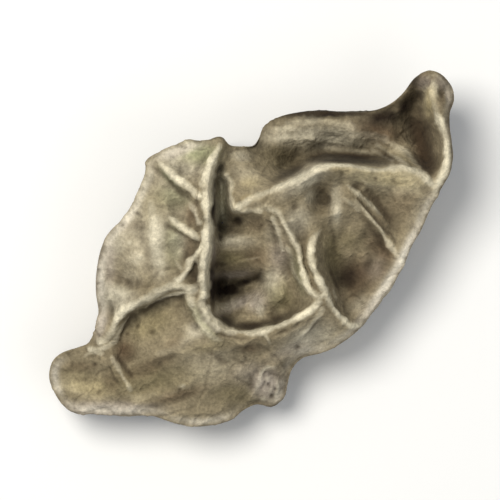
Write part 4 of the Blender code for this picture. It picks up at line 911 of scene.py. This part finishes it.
def faceRelief(places, steadiness):  # relief and masks over the face inside the hem, with painted shade in its grooves, pits and creases
    form = feltRelief
    raised = np.zeros(len(places))
    sunk = np.zeros(len(places))
    cord = np.zeros(len(places))
    groove = np.zeros(len(places))
    cords = [style + (crests[name],) for name, style in cordStyle.items()] + fineCords
    tapers = endTapers([path for width, height, paleness, path in cords])
    for seed, (width, height, paleness, path) in enumerate(cords):
        relief, mask = stroke(places, path, width, height, seed, tapers[seed])
        raised = np.where(np.abs(relief) > np.abs(raised), relief, raised)
        cord = np.maximum(cord, paleness * mask)
        groove = np.maximum(groove, -paleness * mask)
    for seed, (width, depth, path) in enumerate(fineGrooves):
        seed += strokeForm["grooveSeed"]
        relief, mask = stroke(places, path, width, -depth, seed, strokeForm["grooveEnds"])
        sunk = np.minimum(sunk, relief)
        groove = np.maximum(groove, mask * min(1.0, depth / form["darkGroove"]))
    for x, y, reach, depth in smallPits:
        dent = roundMask(places, x, y, reach)
        sunk -= depth * dent
        if depth > 0.0:
            groove = np.maximum(groove, dent)
        else:
            cord = np.maximum(cord, form["paleWart"] * dent)
    folds = np.zeros(len(places))
    most, size, bendSeed = form["foldBend"]
    long, wide, foldSeed = form["foldForm"]
    for k, (x, y, reach, degrees, width, height) in enumerate(foldFields):
        u, v = alongAndAcross(places, 0.0, 0.0, degrees)
        bend = most * softNoise(u / size, v / size, k + bendSeed)
        fold = softNoise(u / (long * width), v / (wide * width) + bend, k + foldSeed)
        folds += roundMask(places, x, y, reach) * height * fold
    for size, height, seed in form["nets"]:
        folds += height * wrinkleNet(places, size, seed)
    size, depth, seed = form["creaseNet"]
    creased = wrinkleNet(places, size, seed)
    folds -= depth * creased
    groove = np.maximum(groove, form["creaseShade"] * creased * (1.0 - cord))
    for size, height, seed in form["lumps"]:
        folds += height * softNoise(*(places / size).T, seed)
    folds *= (1.0 - form["plainCords"] * np.clip(cord, 0.0, 1.0)) * steadiness
    return (raised + sunk) * steadiness + folds, cord, groove, folds


hemRelief = {
    "bend": (0.8, 3.0, 4.0),    # how far a fold bends, over what length and height
    "foldSize": 1.5,
    "slant": 4.5,               # the height over which a fold moves sideways by its size
    "fineShare": 2.3,           # fine folds to a broad one
    "fineSlant": 2.2,
    "lumpSize": 0.9,
    "lumpSlant": (1.4, -1.6),
    "heights": (0.24, 0.11, 0.08),      # of the broad folds, the fine ones and the lumps
    "paintedTopLight": (0.16, 0.10, 0.14),        # painted light: how much lighter each is on top
    "hollows": (0.14, 0.10),            # and painted shade: how much darker between the folds
    "paintedUnderShade": (0.06, 0.30),          # painted shade: darkness at the shoulder, and what the free edge adds
    "sunk": 0.08,
    "mostSunk": 0.20,
    "fullFrom": 0.25,           # share of the hem's way where they have their full height
    "tightTuck": 1.6,           # they are lower where the hem rolls tighter than this
    "leastCalm": 0.2,
}


def hemFolds(x, y, height, share, tuck):  # slanting folds and small wrinkles down the hem, with their painted light and shade
    form = hemRelief
    most, size, tall = form["bend"]
    bend = most * softNoise(x / size + height / tall, y / size, 74)
    u = x / form["foldSize"] + bend
    v = y / form["foldSize"] + height / form["slant"] - bend
    broad = softNoise(u, v, 75)
    u, v = form["fineShare"] * u, form["fineShare"] * v + height / form["fineSlant"]
    fine = 1.0 - 2.0 * np.abs(softNoise(u, v, 76))
    u, v = [place / form["lumpSize"] + height / slant for place, slant in zip((x, y), form["lumpSlant"])]
    kinds = (broad, fine, softNoise(u, v, 77))
    folds, rise, gap = [sum(part * kind for part, kind in zip(form[name], kinds))
                        for name in ("heights", "paintedTopLight", "hollows")]
    swell = min(1.0, share / form["fullFrom"])
    calm = (1.0 - share ** 3) * np.clip(tuck / form["tightTuck"], form["leastCalm"], 1.0)
    relief = swell * calm * np.maximum(folds - form["sunk"], -form["mostSunk"])
    # painted shade under the rolled hem, darker towards its free edge
    dark, darker = form["paintedUnderShade"]
    paintedHollowShade = np.clip(dark + darker * share ** 2 - swell * gap, 0.0, 1.0)
    return relief, 0.5 + swell * rise, paintedHollowShade


paleRim = {
    "inside": 0.55,             # how far inside the outline the pale rim is palest
    "reach": 0.40,
    "uneven": (0.9, 0.3, 1.1),  # mean strength, swing, and size of its uneven patches
    "fades": (-10.0, 30.0),     # angle down the hem where it ends, and over how many degrees
}


def paleRimBand(rimGap):
    return np.exp(-((rimGap - paleRim["inside"]) / paleRim["reach"]) ** 2)


def gridMean(values, times):  # averages over neighbouring cells
    for _ in range(times):
        padded = np.pad(values, 1, mode="edge")
        across = padded[:, :-2] + padded[:, 1:-1] + padded[:, 2:]
        values = (across[:-2] + across[1:-1] + across[2:]) / 9.0
    return values


maskNames = ("cord", "paintedHollowShade", "rise") + tuple(tints)


def putMask(piece, name, values):
    piece.data.attributes.new(name, "FLOAT", "POINT").data.foreach_set("value", values.astype(np.float32))


hollowShade = {
    "depths": ((40, 1.3, 0.40), (8, 0.25, 0.50)),   # times averaged, full depth, strength
    "groove": 0.8,
}


def shadeOfHollows(heights, groove):  # painted shade: dark where the face lies deeper than what is round it
    shade = hollowShade["groove"] * groove
    for times, depth, strength in hollowShade["depths"]:
        shade += strength * np.clip((gridMean(heights, times) - heights).ravel() / depth, 0.0, 1.0)
    return np.clip(shade, 0.0, 1.0)


def makeFeltFace():
    piece, plan, grid, order = startFace("feltFace", feltGrid)
    outline, out, tuck = plan
    places = vertexPlaces(piece)
    normals = vertexNormals(piece)
    flat = places[:, :2]
    relief = np.zeros(len(places))
    masks = {name: tintMask(flat, tints.get(name, [])) for name in maskNames}

    capCount = len(order[0])
    cap = slice(0, capCount)
    slope, least = feltRelief["steadiness"]
    steadiness = np.clip(slope * normals[cap, 2], least, 1.0)
    relief[cap], masks["cord"][cap], groove, folds = faceRelief(flat[cap], steadiness)
    relief[cap] = np.maximum(relief[cap], -feltRelief["mostSunk"])
    # painted light and shade: higher folds lighter, lower ones darker
    masks["rise"][cap] = 0.5 + folds / feltRelief["riseRange"]
    heights = grid[..., 2] + relief[cap].reshape(grid.shape[:2])
    # painted shade in hollows, grooves and pits
    masks["paintedHollowShade"][cap] = shadeOfHollows(heights, groove) * (1.0 - tintMask(flat[cap], bareHollows))
    mean, swing, size = paleRim["uneven"]
    masks["edge"] *= mean + swing * softNoise(*(flat / size).T, 73)
    margin = outline[::2, :2]
    parts = np.array_split(flat[cap], 60)  # in parts, to spare memory
    rimGap = np.concatenate([np.linalg.norm(part[:, None] - margin, axis=2).min(axis=1) for part in parts])
    masks["edge"][cap] *= paleRimBand(rimGap)

    lowest, fade = paleRim["fades"]
    for k, spot in enumerate(order[1:]):
        rows = slice(capCount + k * len(outline), capCount + (k + 1) * len(outline))
        share = (k + 1) / feltGrid["hemRows"]
        x, y = outline[spot, :2].T
        folds, rise, paintedHollowShade = hemFolds(x, y, places[rows, 2], share, tuck[spot])
        relief[rows] = folds
        masks["rise"][rows] = rise
        masks["paintedHollowShade"][rows] = paintedHollowShade
        degrees = hem["start"] - hem["angle"] * outline[spot, 4] * share
        masks["edge"][rows] *= paleRimBand(tuck[spot] * (1.0 - np.cos(np.radians(degrees))))
        masks["edge"][rows] *= np.clip((degrees - lowest) / fade, 0.0, 1.0)

    places = places + normals * relief[:, None]
    piece.data.vertices.foreach_set("co", (places * mm).ravel())
    for name, values in masks.items():
        putMask(piece, name, values)
    print("felted face ready", len(places))
    return piece


sheet = {
    "thickness": 0.80,
    "rimThickness": 0.55,
    "softening": 10,            # times that the inner face is averaged, so that cords are solid inside
    "grooveLift": 0.30,         # the most that this lifts it, over a groove
    "wallShare": 0.80,          # the most of the room between two walls that one of them takes
    "neighbourhood": 0.4,       # places nearer than this don't count as another wall
    "thicknessBlur": 5,
    "depthBlur": 2,
}


def ballRoom(places, up):  # the largest ball under each place that touches nothing else of the face
    room = np.empty(len(places))
    for i, place in enumerate(places):
        gap = places - place
        depth = -gap @ up[i]
        square = (gap ** 2).sum(axis=1)
        facing = (depth > 1e-3) & (square > sheet["neighbourhood"] ** 2)
        room[i] = np.min(square[facing] / (2.0 * depth[facing]), initial=1e3)
    return room


def neighbourMean(values, edges):
    total = values.copy()
    count = np.ones(len(values))
    for a, b in (edges.T, edges.T[::-1]):
        np.add.at(total, a, values[b])
        np.add.at(count, a, 1)
    return total / count[:, None]


def directions(places, faces):
    corners = places[faces]
    normals = np.cross(corners[:, 2] - corners[:, 0], corners[:, 3] - corners[:, 1])
    normals /= np.linalg.norm(normals, axis=1, keepdims=True)
    up = np.zeros_like(places)
    for i in range(4):
        np.add.at(up, faces[:, i], normals)
    return up / np.linalg.norm(up, axis=1, keepdims=True)


def makeBackFace():
    piece, plan, grid, order = startFace("backFace", backGrid)
    places = vertexPlaces(piece)
    faces = np.array([face.vertices[:] for face in piece.data.polygons])
    edges = np.array([edge.vertices[:] for edge in piece.data.edges])
    ringCount = len(plan[0])
    rim = np.arange(len(places) - ringCount, len(places))
    soft = places
    for _ in range(sheet["softening"]):
        soft = neighbourMean(soft, edges)
    shift = soft - places
    lift = (shift * directions(places, faces)).sum(axis=1, keepdims=True)
    shift = shift * np.where(lift > sheet["grooveLift"], sheet["grooveLift"] / np.maximum(lift, 1e-9), 1.0)
    shift[rim] = 0.0
    soft = places + shift
    up = directions(soft, faces)
    thickness = np.full(len(places), sheet["thickness"])
    thickness[rim] = sheet["rimThickness"]
    thickness = np.minimum(thickness, sheet["wallShare"] * ballRoom(soft, up))
    for _ in range(sheet["thicknessBlur"]):
        thickness = np.minimum(thickness, neighbourMean(thickness[:, None], edges)[:, 0])
    depth = up * thickness[:, None]
    for _ in range(sheet["depthBlur"]):
        depth = neighbourMean(depth, edges)
    places = soft - depth
    # the last rows run straight to the free edge, which keeps them clear of the felt
    rows = [len(order[0]) + k * ringCount + np.argsort(spots) for k, spots in enumerate(order[1:])]
    for share, row in ((1.0 / 3.0, rows[-3]), (2.0 / 3.0, rows[-2])):
        places[row] = (1.0 - share) * places[rows[-4]] + share * places[rows[-1]]
    piece.data.vertices.foreach_set("co", (places * mm).ravel())
    for name in maskNames:
        putMask(piece, name, np.full(len(places), 0.5 if name == "rise" else 0.0))
    bpy.ops.object.mode_set(mode="EDIT")
    bpy.ops.mesh.select_all(action="SELECT")
    bpy.ops.mesh.flip_normals()
    bpy.ops.object.mode_set(mode="OBJECT")
    print("smooth back ready", len(places))
    return piece


def joinFaces(felt, back):  # one closed sheet: the two faces bridged round the free edge
    deselectAll()
    back.select_set(True)
    felt.select_set(True)
    bpy.context.view_layer.objects.active = felt
    bpy.ops.object.join()
    bpy.ops.object.mode_set(mode="EDIT")
    bpy.ops.mesh.select_mode(type="EDGE")
    bpy.ops.mesh.select_all(action="DESELECT")
    bpy.ops.mesh.select_non_manifold()
    bpy.ops.mesh.bridge_edge_loops()
    bpy.ops.mesh.select_all(action="SELECT")
    bpy.ops.mesh.normals_make_consistent(inside=False)
    bpy.ops.object.mode_set(mode="OBJECT")
    places = vertexPlaces(felt)
    low, high = places.min(axis=0), places.max(axis=0)
    places[:, :2] -= (low[:2] + high[:2]) / 2.0
    places[:, 2] -= low[2]
    felt.data.vertices.foreach_set("co", (places * mm).ravel())
    bpy.ops.object.shade_smooth()
    felt.name = "driedMushroom"
    felt.data.name = "driedMushroom"
    print("sheet closed, faces", len(felt.data.polygons), "size", np.round(high - low, 2))
    return felt


# The two finishes: felt on the outer face, and the smooth dark inner face.
feltLook = {
    "base": (130, 119, 95),
    "pale": (182, 174, 152),
    "green": (142, 142, 110),
    "olive": (108, 99, 71),
    "straw": (176, 161, 120),
    "brownAndPaintedShade": (90, 74, 56),
    # the colour of the painted shade ovals
    "dark": (38, 31, 25),
    "grey": (126, 117, 107),
    "ash": (168, 158, 144),
    "edge": (200, 192, 174),
    # the colour of the painted shade in hollows, grooves and under the hem
    "paintedHollowShade": (54, 44, 33),
    "cord": (220, 211, 184),
    "patches": (0.30, 0.70, 0.72, 1.12),    # mottling from and to, share of the tints there
    "grain": {"Mottling": (0.28, 0.72, 0.85, 1.16), "Wrinkles": (0.32, 0.68, 0.88, 1.13),
              "Fibres": (0.30, 0.70, 0.78, 1.20)},  # noise from and to, brightness there
    # painted light and shade on the folds: mask from and to, brightness there
    "rise": (0.0, 1.0, 0.60, 1.40),
    "cordCover": (0.08, 1.0, 0.0, 0.9),     # mask from and to, share of the colour there
    "paintedShadeCover": (0.05, 1.0, 0.0, 0.75),
    "roughness": 0.92,
    "specular": 0.05,
    "sheen": 0.015,
    "sheenRoughness": 0.5,
    "wrinkleBump": (0.00025, 0.9),  # distance in metres, strength
    "fibreBump": (0.00008, 0.8),
}
backLook = {
    "low": (22, 22, 26),
    "high": (52, 49, 52),
    "mottling": (0.35, 0.70),
    "roughness": (0.30, 0.70, 0.34, 0.60),
    "wrinkleBump": (0.00022, 0.8),
}
# name, scale, detail and roughness of each noise
grainNoises = (
    ("Mottling", 420.0, 5.0, 0.62), ("Fibres", 3600.0, 3.0, 0.6), ("Wrinkles", 1300.0, 4.0, 0.55))


def feed(tree, socket, value):  # a link from another socket, or a fixed value
    if isinstance(value, bpy.types.NodeSocket):
        tree.links.new(value, socket)
    else:
        socket.default_value = value


def addNode(tree, kind, inputs):
    node = tree.nodes.new(kind)
    for name, value in inputs.items():
        feed(tree, node.inputs[name], value)
    return node


def makeGrainGroup():  # the dried flesh's mottling, fibres and fine wrinkles
    tree = bpy.data.node_groups.new("driedGrain", "ShaderNodeTree")
    tree.interface.new_socket("Vector", in_out="INPUT", socket_type="NodeSocketVector")
    given = tree.nodes.new("NodeGroupInput")
    result = tree.nodes.new("NodeGroupOutput")
    for name, scale, detail, rough in grainNoises:
        tree.interface.new_socket(name, in_out="OUTPUT", socket_type="NodeSocketFloat")
        noise = addNode(tree, "ShaderNodeTexNoise", {
            "Vector": given.outputs["Vector"], "Scale": scale, "Detail": detail, "Roughness": rough})
        tree.links.new(noise.outputs["Fac"], result.inputs[name])
    return tree


def mixColour(tree, fac, first, second, blend="MIX"):
    mix = tree.nodes.new("ShaderNodeMix")
    mix.data_type = "RGBA"
    mix.blend_type = blend
    for socket, value in ((mix.inputs[0], fac), (mix.inputs[6], first), (mix.inputs[7], second)):
        feed(tree, socket, value)
    return mix.outputs[2]


def ranged(tree, value, low, high, newLow=0.0, newHigh=1.0):
    node = addNode(tree, "ShaderNodeMapRange", {
        "Value": value, "From Min": low, "From Max": high, "To Min": newLow, "To Max": newHigh})
    return node.outputs["Result"]


def multiplied(tree, first, second):
    node = tree.nodes.new("ShaderNodeMath")
    node.operation = "MULTIPLY"
    feed(tree, node.inputs[0], first)
    feed(tree, node.inputs[1], second)
    return node.outputs[0]


def startMaterial(name, grain):
    material = bpy.data.materials.new(name)
    material.use_nodes = True
    tree = material.node_tree
    coords = tree.nodes.new("ShaderNodeTexCoord")
    texture = tree.nodes.new("ShaderNodeGroup")
    texture.node_tree = grain
    tree.links.new(coords.outputs["Object"], texture.inputs["Vector"])
    return material, tree, texture, tree.nodes["Principled BSDF"]


def bumpFrom(tree, height, look, below=None):  # on top of the bump below it
    distance, strength = look
    bump = addNode(tree, "ShaderNodeBump", {"Height": height, "Distance": distance, "Strength": strength})
    if below is not None:
        tree.links.new(below, bump.inputs["Normal"])
    return bump.outputs["Normal"]


def makeFelt(grain, look):
    material, tree, texture, shader = startMaterial("khakiFelt", grain)
    mask = {}
    for name in maskNames:
        node = tree.nodes.new("ShaderNodeAttribute")
        node.attribute_name = name
        mask[name] = node.outputs["Fac"]
    colour = linear(*look["base"])
    patchy = ranged(tree, texture.outputs["Mottling"], *look["patches"])
    for name in tints:
        colour = mixColour(tree, multiplied(tree, mask[name], patchy), colour, linear(*look[name]))
    cover = ranged(tree, mask["cord"], *look["cordCover"])
    colour = mixColour(tree, cover, colour, linear(*look["cord"]))
    brightness = [ranged(tree, texture.outputs[name], *values) for name, values in look["grain"].items()]
    # the grain's brightness, then the painted light and shade of the folds
    for value in brightness + [ranged(tree, mask["rise"], *look["rise"])]:
        colour = mixColour(tree, 1.0, colour, value, "MULTIPLY")
    # painted shade over hollows, grooves and the hem's underside
    cover = ranged(tree, mask["paintedHollowShade"], *look["paintedShadeCover"])
    colour = mixColour(tree, cover, colour, linear(*look["paintedHollowShade"]))
    tree.links.new(colour, shader.inputs["Base Color"])
    shader.inputs["Roughness"].default_value = look["roughness"]
    shader.inputs["Specular IOR Level"].default_value = look["specular"]
    shader.inputs["Sheen Weight"].default_value = look["sheen"]
    shader.inputs["Sheen Roughness"].default_value = look["sheenRoughness"]
    wrinkled = bumpFrom(tree, texture.outputs["Wrinkles"], look["wrinkleBump"])
    fibrous = bumpFrom(tree, texture.outputs["Fibres"], look["fibreBump"], wrinkled)
    tree.links.new(fibrous, shader.inputs["Normal"])
    return material


def makeDarkSkin(grain, look):
    material, tree, texture, shader = startMaterial("darkSkin", grain)
    mottling = texture.outputs["Mottling"]
    spotted = ranged(tree, mottling, *look["mottling"])
    colour = mixColour(tree, spotted, linear(*look["low"]), linear(*look["high"]))
    tree.links.new(colour, shader.inputs["Base Color"])
    tree.links.new(ranged(tree, mottling, *look["roughness"]), shader.inputs["Roughness"])
    wrinkled = bumpFrom(tree, texture.outputs["Wrinkles"], look["wrinkleBump"])
    tree.links.new(wrinkled, shader.inputs["Normal"])
    return material


def dressMushroom(piece, backStart):  # felt outside and round the free edge, dark skin inside
    grain = makeGrainGroup()
    piece.data.materials.clear()
    piece.data.materials.append(makeFelt(grain, feltLook))
    piece.data.materials.append(makeDarkSkin(grain, backLook))
    faces = piece.data.polygons
    onBack = np.zeros(len(faces), dtype=np.int32)
    for face in faces:
        if min(face.vertices) >= backStart:
            onBack[face.index] = 1
    faces.foreach_set("material_index", onBack)
    piece.data.update()
    print("materials on, dark faces", int(onBack.sum()))


def makeMushroom():
    felt = makeFeltFace()
    backStart = len(felt.data.vertices)
    back = makeBackFace()
    piece = joinFaces(felt, back)
    dressMushroom(piece, backStart)
    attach(piece, "root")
    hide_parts("wood_ear")


makeMushroom()
